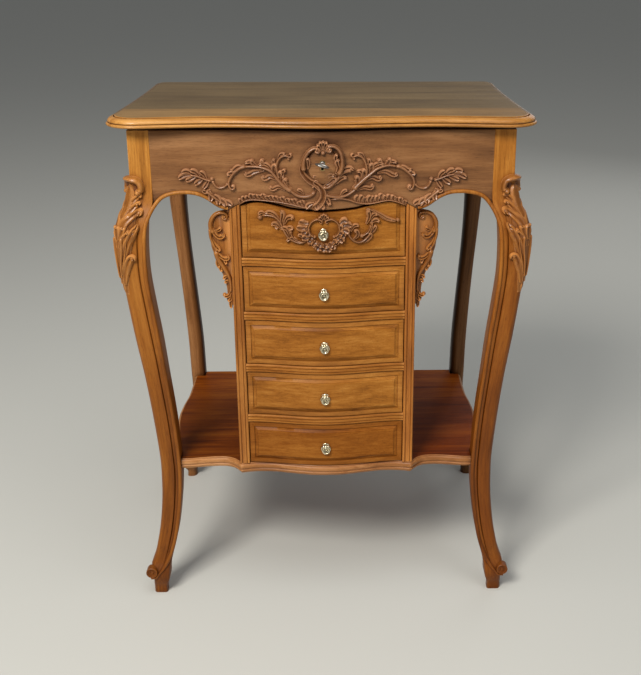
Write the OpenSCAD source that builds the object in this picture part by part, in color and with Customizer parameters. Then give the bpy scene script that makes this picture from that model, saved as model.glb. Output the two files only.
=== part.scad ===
// Small walnut sewing table with a lift-up top, five bowed drawers and cabriole legs.
// X runs to the right, Y runs to the back and Z runs up. The feet stand on z = 0.
// Each module is drawn with y = 0 at the front edge of the flat of the top, and placed() moves
// it so that the origin lies under the middle of the whole table.

/* [Top] */
// Height of the table
table_h = 757; // [751:1:767]
// Width of the flat of the top, without its moulding
top_w = 566; // [562:2:572]
// Depth of the flat of the top, without its moulding
top_d = 350; // [346:2:370]
// How far the moulding stands out past the flat
moulding_out = 14; // [12:1:15]
// How far the front edge dips between its crests
top_wave = 12; // [6:1:14]

/* [Frame] */
// Thickness of the top, with its moulding
top_t = 19; // [18:1:22]
// Side of the square head of each leg
post_w = 30; // [28:1:32]
// Depth of the aprons at the back, from the top down
back_apron_h = 86; // [84:1:90]
// Height of the upper face of the shelf
shelf_top = 228; // [224:1:230]
// Thickness of the shelf
shelf_t = 16; // [14:1:18]

/* [Drawers] */
// Clear width between the two front stiles
opening_w = 234; // [228:2:240]
// Clear height of each lower drawer opening
opening_h = 70; // [68:1:70]
// Thickness of the rails between the drawers
rail_t = 12; // [11:1:12]
// How far the drawer fronts bow forward
bow = 14; // [8:1:16]
// Length of the drawer boxes
box_len = 300; // [240:5:302]

/* [Lock] */
// Drop from the top of the frame to the keyhole
keyhole_drop = 43; // [42:1:44]
// Sideways travel of the bolt
bolt_travel = 12; // [11:0.5:12]

/* [Hidden] */

$fn = 48;
far = 1000;
eps = 0.05;

walnut = [0.60, 0.34, 0.15];
dark_walnut = [0.42, 0.24, 0.12];
oak = [0.72, 0.55, 0.34];
brass = [0.78, 0.70, 0.48];
steel = [0.45, 0.46, 0.46];

// Heights
lid_gap = 0.2;
frame_top = table_h - top_t;
lid_under = frame_top + lid_gap;
floor_t = 6;
floor_under = frame_top - back_apron_h;
floor_top = floor_under + floor_t;
shelf_under = shelf_top - shelf_t;
drawer_pitch = opening_h + rail_t;

// Planes, left-right and front-back
top_half = top_w / 2;
post_out = top_half - 16;
post_in = post_out - post_w;
frame_front = 12;
post_back = frame_front + post_w;
rear_back = top_d + 12;
rear_front = rear_back - post_w;
apron_t = 20;
apron_back_face = frame_front + apron_t;
opening_half = opening_w / 2;
stile_w = 15;
stile_out = opening_half + stile_w;
side_t = 12;
cabinet_back_front = rear_front + 13;
cabinet_back_t = 6;
joint_gap = 0.3;
cabinet_side_front = apron_back_face + 2;
side_apron_foot = frame_top - 125;

// Smooth curve through a table of rows [place, value, value...] in rising order of place.
function step_at(t, x, i = 0) = (i >= len(t) - 2 || x <= t[i + 1][0]) ? i : step_at(t, x, i + 1);
function between(t, i, j, c) = (t[j][c] - t[i][c]) / (t[j][0] - t[i][0]);
function slope(t, i, c) = between(t, max(i - 1, 0), min(i + 1, len(t) - 1), c);
function blend(u, a, b, ma, mb) =
    (2 * u ^ 3 - 3 * u ^ 2 + 1) * a + (u ^ 3 - 2 * u ^ 2 + u) * ma
    + (3 * u ^ 2 - 2 * u ^ 3) * b + (u ^ 3 - u ^ 2) * mb;
function curve(t, x, c = 1) =
    let (i = step_at(t, x))
    let (h = t[i + 1][0] - t[i][0])
    blend((x - t[i][0]) / h, t[i][c], t[i + 1][c], slope(t, i, c) * h, slope(t, i + 1, c) * h);

module placed() {
    translate([0, -frame_middle_y, 0]) children();
}

// ---------------------------------------------------------------- legs

// Outline of a cabriole leg, from the foot up. Rows give the height, then how far the outer and
// the inner face stand out from the faces of the square head, for a leg 738 tall.
LEG_H = 738;
LEG = [
    [0, 11, 19.5], [12, 11, 19.5], [19, 16.5, 17], [31, 21.5, 14], [43, 18.5, 13.5], [56, 8, 11],
    [80, 3, 4.5], [114, -3.5, -3], [160, -8.5, -9], [201, -10, -12], [231, -9.8, -11.5],
    [296, -5.3, -8.5], [370, 1.5, -2.5], [432, 9, 2.5], [480, 14, 7.5], [530, 18.5, 12],
    [565, 19.5, 12.5], [598, 17, 11], [618, 12, 8.5], [636, 5, 0.5], [660, 1, 0], [738, 0, 0],
];
// The same for a rear leg, which runs down almost straight from its head to the shelf.
REAR_LEG = [
    [0, 8, 20], [12, 8, 20], [19, 14, 17], [31, 19, 14], [43, 16, 13.5], [56, 4, 11],
    [80, -1.5, 4.5], [114, -8, -3], [160, -15, -9], [201, -16.5, -12], [231, -16, -11.5],
    [296, -15, -10.5], [370, -12, -6.5], [432, -8.5, -2.5], [480, -5, 0.5], [530, -1.5, 2.5],
    [565, 0.5, 3], [618, 0.5, 1.5], [660, 0, 0], [738, 0, 0],
];
// Lean of a rear leg: height, and how far its middle stands behind the middle of its head.
REAR_LEAN = [
    [0, 54], [31, 54], [56, 47], [100, 39.5], [160, 31], [231, 24], [296, 20], [400, 13],
    [468, 9.5], [565, 5], [618, 2], [650, 0], [738, 0],
];
LEG_LEVELS = 44;
CORNER_MAX = 0.2;

function leg_z(k) = frame_top * k / LEG_LEVELS;
function leg_offset(z, c, table) = curve(table, z * LEG_H / frame_top, c);
function leg_outer(z, table = LEG) = post_out + leg_offset(z, 1, table);
function leg_inner(z, table = LEG) =
    let (d = leg_offset(z, 2, table)) post_in + (z > frame_top * 0.86 ? max(0, d) : d);
function leg_corner(z, width) = width * min(CORNER_MAX, max(0.02, (640 - z) / 500));
function rear_lean(z) = curve(REAR_LEAN, z * LEG_H / frame_top);
function box_ring(x0, x1, y0, y1, r, z) = [
    [x0 + r, y0, z], [x1 - r, y0, z], [x1, y0 + r, z], [x1, y1 - r, z],
    [x1 - r, y1, z], [x0 + r, y1, z], [x0, y1 - r, z], [x0, y0 + r, z],
];
function front_leg_ring(z) =
    let (a = leg_inner(z), b = leg_outer(z))
    box_ring(a, b, frame_front - (b - post_out), post_back - (a - post_in), leg_corner(z, b - a), z);
// Above side_apron_foot the front face stays in the plane that the side apron ends at.
function rear_leg_ring(z) =
    let (a = leg_inner(z, REAR_LEG), b = leg_outer(z, REAR_LEG))
    let (y = (rear_front + rear_back) / 2 + rear_lean(z), h = (b - a) / 2)
    box_ring(a, b, z > side_apron_foot ? max(y - h, rear_front) : y - h, y + h,
        leg_corner(z, b - a), z);

module stacked(rings) {
    n = len(rings[0]);
    m = len(rings);
    sides = [for (k = [0 : m - 2]) for (i = [0 : n - 1])
        [k * n + i, (k + 1) * n + i, (k + 1) * n + (i + 1) % n, k * n + (i + 1) % n]];
    under = [for (i = [0 : n - 1]) i];
    over = [for (i = [n - 1 : -1 : 0]) (m - 1) * n + i];
    polyhedron([for (ring = rings) each ring], concat(sides, [under, over]), convexity = 6);
}

module front_leg() {
    stacked([for (k = [0 : LEG_LEVELS]) front_leg_ring(leg_z(k))]);
}

module rear_leg() {
    stacked([for (k = [0 : LEG_LEVELS]) rear_leg_ring(leg_z(k))]);
}

module leg_front_left() color(walnut) placed() mirror([1, 0, 0]) front_leg();
module leg_front_right() color(walnut) placed() front_leg();
module leg_rear_left() color(walnut) placed() mirror([1, 0, 0]) rear_leg();
module leg_rear_right() color(walnut) placed() rear_leg();

// ---------------------------------------------------------------- aprons

// Lower edge of the front apron, as a drop from the top of the frame: first over the cabinet,
// by the share of the way from the middle to the stile's outer edge, then over the side arch,
// by the share of the way from there to the leg.
CENTRE_EDGE = [
    [0, 109], [0.33, 106], [0.5, 101], [0.67, 97], [0.76, 98], [0.84, 101], [0.92, 105], [1, 111],
];
ARCH_EDGE = [
    [0, 111], [0.1, 109], [0.19, 103], [0.27, 96.5], [0.41, 90], [0.56, 88], [0.71, 89],
    [0.85, 93], [1, 104],
];
EDGE_STEPS = 28;

function bow_y(x) =
    let (u = min(1, abs(x) / (opening_half + 3)))
    frame_front - bow * (1 + cos(180 * u)) / 2;
function edge_z(x) =
    let (u = abs(x))
    frame_top - (u < stile_out
        ? curve(CENTRE_EDGE, u / stile_out)
        : curve(ARCH_EDGE, min(1, (u - stile_out) / (post_in - stile_out))));
function edge_points(x0, x1) = [for (k = [0 : EDGE_STEPS]) let (x = x0 + (x1 - x0) * k / EDGE_STEPS)
    [x, edge_z(x)]];
function bow_points(x0, x1) = [for (k = [0 : EDGE_STEPS]) let (x = x0 + (x1 - x0) * k / EDGE_STEPS)
    [x, bow_y(x)]];

// Extrudes an outline drawn in X and Z backwards, from y0 to y1.
module upright(y0, y1) {
    translate([0, y1, 0]) rotate([90, 0, 0]) linear_extrude(y1 - y0) children();
}

module front_apron_outline() {
    left = edge_points(-post_in, -stile_out);
    middle = edge_points(-stile_out, stile_out);
    right = edge_points(stile_out, post_in);
    polygon(concat(left, [for (i = [1 : EDGE_STEPS - 1]) middle[i]], right,
        [[post_in, frame_top], [-post_in, frame_top]]));
}

module bowed_plan(x0, x1, y_back) {
    polygon(concat(bow_points(x0, x1), [[x1, y_back], [x0, y_back]]));
}

module ellipse(rx, rz, n = 48) {
    polygon([for (i = [0 : n - 1]) [rx * cos(360 * i / n), rz * sin(360 * i / n)]]);
}

boss_rx = 21;
boss_rz = 27;
boss_t = 3;
boss_front = frame_front - bow - boss_t;
keyhole_z = frame_top - keyhole_drop;
keyhole_r = 3.6;
key_slot_w = 3.4;
key_slot_len = 9;
escutcheon_wall = 1;

module keyhole(grow = 0) {
    circle(keyhole_r + grow);
    translate([-key_slot_w / 2 - grow, -key_slot_len - grow])
        square([key_slot_w + 2 * grow, key_slot_len]);
}

// The mortise for the lock, open at the back and at the top.
module lock_space() {
    translate([case_x0, case_y0, case_z0]) cube([case_x1 - case_x0, far, far]);
}

module apron_front() color(dark_walnut) placed() difference() {
    union() {
        intersection() {
            upright(-far, far) front_apron_outline();
            union() {
                for (s = [-1, 1])
                    translate([s > 0 ? opening_half : -post_in, frame_front, 0])
                        cube([post_in - opening_half, apron_t, far]);
                linear_extrude(far)
                    bowed_plan(-opening_half - eps, opening_half + eps, apron_back_face);
            }
        }
        upright(boss_front, frame_front) translate([0, keyhole_z - 3]) ellipse(boss_rx, boss_rz);
    }
    upright(boss_front - 1, apron_back_face + 1) translate([0, keyhole_z]) keyhole(escutcheon_wall);
    lock_space();
}

module apron_back() color(dark_walnut) placed() difference() {
    translate([-post_in, rear_back - apron_t, floor_under]) cube([2 * post_in, apron_t, back_apron_h]);
    for (x = hinge_xs)
        translate([x - hinge_len / 2, leaf_front, frame_top - leaf_t]) cube([hinge_len, far, far]);
    screw_holes(frame_top - leaf_t - screw_len);
}

SIDE_DROP = [[0, 104], [0.12, 94], [0.3, 88], [0.5, 86.5], [0.7, 88], [0.88, 94], [1, 104]];

module side_apron() {
    n = 24;
    run = rear_front - post_back;
    edge = [for (k = [0 : n]) [post_back + run * k / n, frame_top - curve(SIDE_DROP, k / n)]];
    translate([post_in + 8, 0, 0]) rotate([90, 0, 90]) linear_extrude(apron_t)
        polygon(concat(edge, [[rear_front, frame_top], [post_back, frame_top]]));
}

module apron_left() color(dark_walnut) placed() mirror([1, 0, 0]) side_apron();
module apron_right() color(dark_walnut) placed() side_apron();

// ---------------------------------------------------------------- shelf

// Front edge of the shelf as rows of half-width and how far the edge lies behind the flat of
// the top. The narrow steps beside the stiles are the ends of its bowed middle.
SHELF_FRONT = [
    [0, -2], [20, -1], [40, 2.5], [60, 7], [82, 11.5], [105, 13], [122, 11], [134, 10],
    [139, 13], [144, 20], [152, 28], [164, 31], [180, 30.5], [200, 27.5], [212, 25.5], [226, 25],
];
SHELF_SIDE = [[54, 243], [120, 243.5], [160, 248.5], [200, 250], [235, 248], [275, 244], [358, 243.5]];
shelf_back = rear_front + 42;
leg_notch = 0.3;
notch_in = leg_inner(shelf_top) - leg_notch - 0.4;
front_notch_y = post_back - (leg_inner(shelf_top) - post_in) + leg_notch + 0.4;
rear_notch_y = rear_leg_ring(shelf_top)[0][1] - leg_notch - 0.3;

function shelf_half() =
    let (n = 40, m = 24)
    let (front = [for (k = [0 : n]) let (x = notch_in * k / n) [x, curve(SHELF_FRONT, x * 226 / notch_in)]])
    let (side = [for (k = [0 : m]) let (y = front_notch_y + (rear_notch_y - front_notch_y) * k / m)
        [curve(SHELF_SIDE, 54 + 304 * k / m) + post_out - 267, y]])
    concat(front, [[notch_in, front_notch_y]], side,
        [[notch_in, rear_notch_y], [notch_in, shelf_back], [0, shelf_back]]);

// The outline whose right half is given, from the middle of its front to the middle of its back.
module symmetric(right) {
    n = len(right);
    polygon(concat(right, [for (i = [n - 2 : -1 : 1]) [-right[i][0], right[i][1]]]));
}

module shelf() color(walnut) placed() translate([0, 0, shelf_under]) linear_extrude(shelf_t)
    symmetric(shelf_half());

// ---------------------------------------------------------------- cabinet

module front_stile() {
    n = 8;
    top = [for (k = [n : -1 : 0]) let (x = opening_half + stile_w * k / n) [x, edge_z(x) - joint_gap]];
    upright(frame_front, cabinet_side_front)
        polygon(concat([[opening_half, shelf_top], [stile_out, shelf_top]], top));
}

module stile_left() color(walnut) placed() mirror([1, 0, 0]) front_stile();
module stile_right() color(walnut) placed() front_stile();

// Outline of a wing bracket: height below its top, and how far it stands out from the stile.
WING = [
    [0, 7], [4, 21], [12, 26], [23, 29.5], [38, 30], [56, 28], [72, 21], [90, 16], [106, 11],
    [121, 9], [134, 10], [141, 4],
];
wing_h = 141;
wing_t = 12;
wing_front = 24;
wing_top = frame_top - 116;

module wing_bracket() {
    n = 36;
    edge = [for (k = [0 : n]) [stile_out + curve(WING, wing_h * k / n), wing_top - wing_h * k / n]];
    upright(wing_front, wing_front + wing_t)
        polygon(concat([[stile_out, wing_top - wing_h], [stile_out, wing_top]], edge));
}

module bracket_left() color(walnut) placed() mirror([1, 0, 0]) wing_bracket();
module bracket_right() color(walnut) placed() wing_bracket();

module cabinet_side() {
    translate([opening_half, cabinet_side_front, shelf_top])
        cube([side_t, cabinet_back_front - cabinet_side_front, floor_under - shelf_top]);
}

module cabinet_side_left() color(walnut) placed() mirror([1, 0, 0]) cabinet_side();
module cabinet_side_right() color(walnut) placed() cabinet_side();

module cabinet_back() color(oak) placed() translate([-opening_half - side_t, cabinet_back_front, shelf_top])
    cube([2 * (opening_half + side_t), cabinet_back_t, floor_under - shelf_top]);

// ---------------------------------------------------------------- compartment under the top

module compartment_floor() color(oak) placed() translate([0, 0, floor_under]) linear_extrude(floor_t)
    union() {
        translate([-post_in, apron_back_face]) square([2 * post_in, rear_back - apron_t - apron_back_face]);
        translate([-post_in - 8, post_back]) square([2 * post_in + 16, rear_front - post_back]);
    }

divider_t = 6;
divider_h = 50;
divider_x = 110;
divider_y = 200;

module compartment_dividers() color(oak) placed() translate([0, 0, floor_top]) {
    for (s = [-1, 1])
        translate([s * divider_x - divider_t / 2, apron_back_face, 0])
            cube([divider_t, rear_back - apron_t - apron_back_face, divider_h]);
    translate([-divider_x + divider_t / 2, divider_y, 0])
        cube([2 * divider_x - divider_t, divider_t, divider_h]);
}

// ---------------------------------------------------------------- rails and runners

rail_depth_back = 46;
runner_w = 12;

function opening_z(n) = shelf_top + (5 - n) * drawer_pitch;

module drawer_rail(n) color(walnut) placed() translate([0, 0, opening_z(n) - rail_t])
    linear_extrude(rail_t) bowed_plan(-opening_half, opening_half, rail_depth_back);

module drawer_runners() color(oak) placed() for (n = [1 : 4])
    for (s = [-1, 1])
        translate([s > 0 ? opening_half - runner_w : -opening_half, rail_depth_back, opening_z(n) - rail_t])
            cube([runner_w, cabinet_back_front - rail_depth_back, rail_t]);

module drawer_rail_1() drawer_rail(1);
module drawer_rail_2() drawer_rail(2);
module drawer_rail_3() drawer_rail(3);
module drawer_rail_4() drawer_rail(4);

// ---------------------------------------------------------------- lid

// Layers of the top, from below: the heights of the underside and the top of each, and how far it
// stands out as a share of the moulding. They are a neck, set well back, that rests on the frame,
// then the bead, the groove, the quarter round in three steps, and the flat.
lid_layers = [
    [0, 5.5, 0.15], [5.5, 10, 1], [10, 11.2, 0.76], [11.2, 13.2, 0.86], [13.2, 15.2, 0.62],
    [15.2, 17, 0.3], [17, top_t - lid_gap, 0],
];
front_corner = 30;
back_corner = 9;
side_taper = 14;
wave_len = 290;
link_plate_t = 2;

function top_front_y(x) = top_wave * (1 - cos(360 * min(abs(x), wave_len) / wave_len)) / 2;
corner_x = top_half - front_corner;
corner_y = top_front_y(corner_x) + front_corner;
function top_side_x(y) = top_half
    - side_taper * sin(90 * max(0, min(1, (y - corner_y) / (top_d - back_corner - corner_y))));
// Half of the outline, grown outwards by g, from the middle of the front to the middle of the back.
function top_half_points(g) =
    let (n = 36, m = 16, r = front_corner + g)
    let (back_x = top_half - side_taper + g - back_corner, back_y = top_d + back_grow(g))
    let (front = [for (k = [0 : n]) let (x = corner_x * k / n) [x, top_front_y(x) - g]])
    let (corner = [for (a = [-80 : 10 : -10]) [corner_x + r * cos(a), corner_y + r * sin(a)]])
    let (side = [for (k = [0 : m]) let (y = corner_y + (top_d - back_corner - corner_y) * k / m)
        [top_side_x(y) + g, y]])
    let (back = [for (a = [15 : 15 : 75])
        [back_x + back_corner * cos(a), back_y - back_corner + back_corner * sin(a)]])
    concat(front, corner, side, back, [[back_x, back_y], [0, back_y]]);
function back_grow(g) = g * 13 / 14;

module lid_board() color(walnut) placed() difference() {
    for (l = lid_layers)
        translate([0, 0, lid_under + l[0]]) linear_extrude(l[1] - l[0])
            symmetric(top_half_points(moulding_out * l[2]));
    for (x = hinge_xs)
        translate([x - hinge_len / 2, leaf_front, lid_under - 1]) cube([hinge_len, far, leaf_t + 1]);
    translate([link_x0, link_y0, lid_under - 1])
        cube([link_x1 - link_x0, link_y1 - link_y0, link_plate_t + 1]);
    screw_holes(lid_under + leaf_t);
}

// ---------------------------------------------------------------- hinges

hinge_x = 150;
hinge_xs = [-hinge_x, hinge_x];
hinge_len = 50;
knuckles = 5;
knuckle_len = hinge_len / knuckles;
knuckle_gap = 0.2;
barrel_r = 3.5;
pin_r = 1.5;
pin_clearance = 0.05;
leaf_t = 1.5;
axis_y = rear_back + 6;
axis_z = frame_top + lid_gap / 2;
leaf_front = rear_back - 18;
leaf_inset = 4.2;
screw_head_r = 2.2;
screw_head_h = 1.2;
screw_r = 1.2;
screw_len = 9;
screw_pitch = 16;
screw_y = rear_back - 9;

module along_x(x0, x1, r) {
    translate([x0, 0, 0]) rotate([0, 90, 0]) cylinder(h = x1 - x0, r = r);
}

// One leaf of a butt hinge. Even or odd knuckles are its own, and it is cut back from the rest.
module hinge_leaf(own, z0) {
    difference() {
        union() {
            translate([-hinge_len / 2, leaf_front - axis_y, z0])
                cube([hinge_len, axis_y - leaf_front - leaf_inset, leaf_t]);
            for (k = [0 : knuckles - 1])
                if (k % 2 == own) {
                    x0 = -hinge_len / 2 + k * knuckle_len + knuckle_gap / 2;
                    along_x(x0, x0 + knuckle_len - knuckle_gap, barrel_r);
                    translate([x0, -leaf_inset - 1, z0])
                        cube([knuckle_len - knuckle_gap, leaf_inset + 1, leaf_t]);
                }
        }
        along_x(-hinge_len, hinge_len, pin_r + pin_clearance);
        for (s = [-1 : 1])
            translate([s * screw_pitch, screw_y - axis_y, z0 - 1])
                cylinder(h = leaf_t + 2, r = screw_head_r + eps);
    }
}

module at_hinges() {
    for (x = hinge_xs)
        translate([x, axis_y, axis_z]) children();
}

module hinge_frame_leaves() color(brass) placed() at_hinges() hinge_leaf(0, -lid_gap / 2 - leaf_t);
module hinge_lid_leaves() color(brass) placed() at_hinges() hinge_leaf(1, lid_gap / 2);
module hinge_pins() color(brass) placed() at_hinges() along_x(-hinge_len / 2, hinge_len / 2, pin_r);

module at_screws() {
    for (x = hinge_xs)
        for (s = [-1 : 1])
            translate([x + s * screw_pitch, screw_y, 0]) children();
}

module screw_holes(z0) {
    at_screws() translate([0, 0, z0]) cylinder(h = screw_len, r = screw_r + eps);
}

// A countersunk screw, head at the origin and shank along -Z.
module screw() {
    translate([0, 0, -screw_head_h]) cylinder(h = screw_head_h, r = screw_head_r);
    translate([0, 0, -screw_len]) cylinder(h = screw_len - eps, r = screw_r);
}

module frame_screws() color(steel) placed() at_screws() translate([0, 0, frame_top - 0.2]) screw();
module lid_screws() color(steel) placed() at_screws() translate([0, 0, lid_under + 0.2])
    mirror([0, 0, 1]) screw();

// ---------------------------------------------------------------- lock

case_wall = 1.5;
case_x0 = -29;
case_x1 = 30;
case_y0 = 20;
case_y1 = apron_back_face;
case_z0 = keyhole_z - 10;
loop_xs = [-6, 16];
loop_t = 2;
loop_y0 = 22.4;
loop_y1 = 29.6;
loop_drop = 14;
loop_room = 0.8;
link_x0 = -12;
link_x1 = 24;
link_y0 = 21;
link_y1 = 31;
bolt_y0 = 24.5;
bolt_t = 3;
finger_z0 = frame_top - 10;
finger_h = 3;
bar_z1 = frame_top - 16;
bar_h = 6;
key_r = 2;
drill_r = 1;
drill_clearance = 0.08;
bit_reach = 8;
bit_t = 2;
bit_y0 = 23.6;
bit_y1 = 28.4;
bow_tilt = 16;
talon_x = -bolt_travel / 2;
talon_half = 3.4;
talon_h = 5;
key_tip_y = case_y1 - case_wall - 1;
key_bow_y = -26;
key_bow_len = 15;
key_bow_half = 10;
key_bow_t = 3;
ledge_len = 12;

// The lock case, shrunk on every side by g.
module case_block(g = 0) {
    translate([case_x0 + g, case_y0 + g, case_z0 + g])
        cube([case_x1 - case_x0 - 2 * g, case_y1 - case_y0 - 2 * g, frame_top - case_z0 - 2 * g]);
}

module lock_case() color(steel) placed() {
    difference() {
        case_block();
        case_block(case_wall);
        upright(case_y0 - 1, case_y0 + case_wall + 1) translate([0, keyhole_z]) keyhole();
        for (x = loop_xs)
            translate([x - loop_room, loop_y0 - loop_room, frame_top - case_wall - 1])
                cube([loop_t + 2 * loop_room, loop_y1 - loop_y0 + 2 * loop_room, case_wall + 2]);
    }
    // The drill pin, which the hollow key turns on.
    translate([0, case_y1 - case_wall + 0.2, keyhole_z]) along_front(10, drill_r);
    // Strips that keep the bolt in its plane, and the ledge that it slides on.
    for (y = [case_y0 + case_wall - 0.2, bolt_y0 + bolt_t + 0.3])
        translate([case_x0 + case_wall - 0.2, y, bar_z1 - bar_h + 1])
            cube([case_x1 - case_x0 - 2 * case_wall + 0.4, bolt_y0 - case_y0 - case_wall - 0.1, bar_h - 2]);
    translate([case_x1 - case_wall - ledge_len, case_y0 + case_wall - 0.2, bar_z1 - bar_h - 3.2])
        cube([ledge_len + 0.2, case_y1 - case_y0 - 2 * case_wall + 0.4, 3]);
}

// A round bar from the origin towards the front.
module along_front(len, r) {
    rotate([90, 0, 0]) cylinder(h = len, r = r);
}

module bolt_finger(x0, x1) {
    translate([x0, bolt_y0, finger_z0]) cube([x1 - x0, bolt_t, finger_h]);
    translate([x0, bolt_y0, bar_z1 - 1]) cube([3, bolt_t, finger_z0 + finger_h - bar_z1 + 1]);
}

module lock_bolt() color(steel) placed() {
    translate([-22, bolt_y0, bar_z1 - bar_h]) cube([38, bolt_t, bar_h]);
    bolt_finger(-22, -8);
    bolt_finger(-1, 13);
    difference() {
        translate([talon_x - 9, bolt_y0, keyhole_z + 4]) cube([18, bolt_t, bar_z1 - keyhole_z - 5]);
        translate([talon_x - talon_half, bolt_y0 - 1, keyhole_z])
            cube([2 * talon_half, bolt_t + 2, 4 + talon_h]);
    }
}

module key() color(steel) placed() translate([0, 0, keyhole_z]) rotate([0, bow_tilt, 0]) {
    difference() {
        union() {
            translate([0, key_tip_y, 0]) along_front(key_tip_y - key_bow_y - key_bow_len + 1, key_r);
            translate([-bit_reach, bit_y0, -bit_t / 2]) cube([bit_reach, bit_y1 - bit_y0, bit_t]);
        }
        translate([0, key_tip_y + 1, 0]) along_front(14, drill_r + drill_clearance);
    }
    translate([0, boss_front - 1, 0]) along_front(2, 3.2);
    translate([0, key_bow_y + key_bow_len / 2, -key_bow_t / 2]) linear_extrude(key_bow_t) difference() {
        ellipse(key_bow_half, key_bow_len / 2);
        ellipse(key_bow_half - 3, key_bow_len / 2 - 3);
    }
}

module link_plate() color(steel) placed() difference() {
    union() {
        translate([link_x0, link_y0, lid_under]) cube([link_x1 - link_x0, link_y1 - link_y0, link_plate_t]);
        for (x = loop_xs)
            translate([x, loop_y0, frame_top - loop_drop])
                cube([loop_t, loop_y1 - loop_y0, loop_drop + lid_gap + 1]);
    }
    for (x = loop_xs)
        translate([x - 1, bolt_y0 - 0.6, finger_z0 - 1]) cube([loop_t + 2, bolt_t + 1.2, finger_h + 2]);
}

module keyhole_escutcheon() color(brass) placed() upright(boss_front, boss_front + 5)
    translate([0, keyhole_z]) difference() {
        keyhole(escutcheon_wall - eps);
        keyhole();
    }

// ---------------------------------------------------------------- drawers

side_gap = 0.6;
edge_gap = 0.8;
front_back_face = 30;
box_h = 58;
box_wall = 8;
box_back_t = 8;
box_half = opening_half - side_gap - 0.4;
run_gap = 0.3;
bottom_t = 4;
bottom_up = 6;
groove = 3;

function box_z(n) = opening_z(n) + run_gap;

module drawer_front(n) color(walnut) placed() intersection() {
    linear_extrude(far) bowed_plan(-opening_half + side_gap, opening_half - side_gap, front_back_face);
    upright(-far, far) drawer_front_outline(n);
}

// The lower fronts are plain rectangles. The first follows the edge of the apron above it.
module drawer_front_outline(n) {
    h = opening_half - side_gap;
    z0 = opening_z(n) + edge_gap;
    if (n == 1)
        polygon(concat([for (p = edge_points(-h, h)) [p[0], p[1] - edge_gap]], [[h, z0], [-h, z0]]));
    else
        translate([-h, z0]) square([2 * h, opening_h - 2 * edge_gap]);
}

module drawer_box(n) color(oak) placed() translate([0, front_back_face, box_z(n)]) difference() {
    translate([-box_half, 0, 0]) cube([2 * box_half, box_len, box_h]);
    translate([-box_half + box_wall, -1, -1])
        cube([2 * (box_half - box_wall), box_len - box_back_t + 1, far]);
    translate([-box_half + box_wall - groove, -1, bottom_up])
        cube([2 * (box_half - box_wall + groove), box_len + 2, bottom_t]);
}

module drawer_bottom(n) color(oak) placed()
    translate([-box_half + box_wall - groove + eps, front_back_face, box_z(n) + bottom_up + eps])
        cube([2 * (box_half - box_wall + groove - eps), box_len, bottom_t - 2 * eps]);

// Pull: a round backplate with two ears, and a ring that hangs on the pin between them.
plate_r = 6.2;
plate_t = 1.5;
pull_stand = 4.5;
ear_x0 = 1.8;
ear_x1 = 3.4;
ear_r = 1.4;
pull_pin_r = 0.8;
pull_clearance = 0.07;
eye_half = 1.6;
eye_r = 1.7;
ring_r = 4.8;
ring_wire = 1.1;
ring_drop = 7.1;
pivot_up = 1.2;
pull_face = frame_front - bow;
pivot_y = pull_face - pull_stand;

function drawer_centre_z(n) = opening_z(n) + opening_h / 2 + (n == 1 ? 7 : 0);
function pivot_z(n) = drawer_centre_z(n) + pivot_up;

module pull_plate(n) color(brass) placed() translate([0, pivot_y, pivot_z(n)]) {
    translate([0, pull_stand, -ring_drop + 1]) {
        along_front(plate_t, plate_r);
        along_front(plate_t + 1.2, 2.2);
    }
    translate([-ear_x1, pull_stand - plate_t, -3]) cube([2 * ear_x1, plate_t, 5]);
    for (s = [-1, 1]) {
        along_x(s > 0 ? ear_x0 : -ear_x1, s > 0 ? ear_x1 : -ear_x0, ear_r);
        translate([s > 0 ? ear_x0 : -ear_x1, 0, -1.2])
            cube([ear_x1 - ear_x0, pull_stand - plate_t + 0.2, 2.4]);
    }
    along_x(-ear_x1, ear_x1, pull_pin_r);
}

module pull_ring(n) color(brass) placed() translate([0, pivot_y, pivot_z(n)]) difference() {
    union() {
        translate([0, 0, -ring_drop]) rotate([90, 0, 0]) rotate_extrude()
            translate([ring_r, 0]) circle(ring_wire, $fn = 20);
        along_x(-eye_half, eye_half, eye_r);
    }
    along_x(-eye_half - 3, eye_half + 3, pull_pin_r + pull_clearance);
}

module drawer_1_front() drawer_front(1);
module drawer_1_box() drawer_box(1);
module drawer_1_bottom() drawer_bottom(1);
module drawer_1_pull_plate() pull_plate(1);
module drawer_1_ring() pull_ring(1);
module drawer_2_front() drawer_front(2);
module drawer_2_box() drawer_box(2);
module drawer_2_bottom() drawer_bottom(2);
module drawer_2_pull_plate() pull_plate(2);
module drawer_2_ring() pull_ring(2);
module drawer_3_front() drawer_front(3);
module drawer_3_box() drawer_box(3);
module drawer_3_bottom() drawer_bottom(3);
module drawer_3_pull_plate() pull_plate(3);
module drawer_3_ring() pull_ring(3);
module drawer_4_front() drawer_front(4);
module drawer_4_box() drawer_box(4);
module drawer_4_bottom() drawer_bottom(4);
module drawer_4_pull_plate() pull_plate(4);
module drawer_4_ring() pull_ring(4);
module drawer_5_front() drawer_front(5);
module drawer_5_box() drawer_box(5);
module drawer_5_bottom() drawer_bottom(5);
module drawer_5_pull_plate() pull_plate(5);
module drawer_5_ring() pull_ring(5);

// Middle of the table from front to back: the key's bow is foremost, the rear toes hindmost.
rear_toe_back = max([for (k = [0 : LEG_LEVELS]) rear_leg_ring(leg_z(k))[5][1]]);
frame_middle_y = (key_bow_y + rear_toe_back) / 2;

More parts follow.
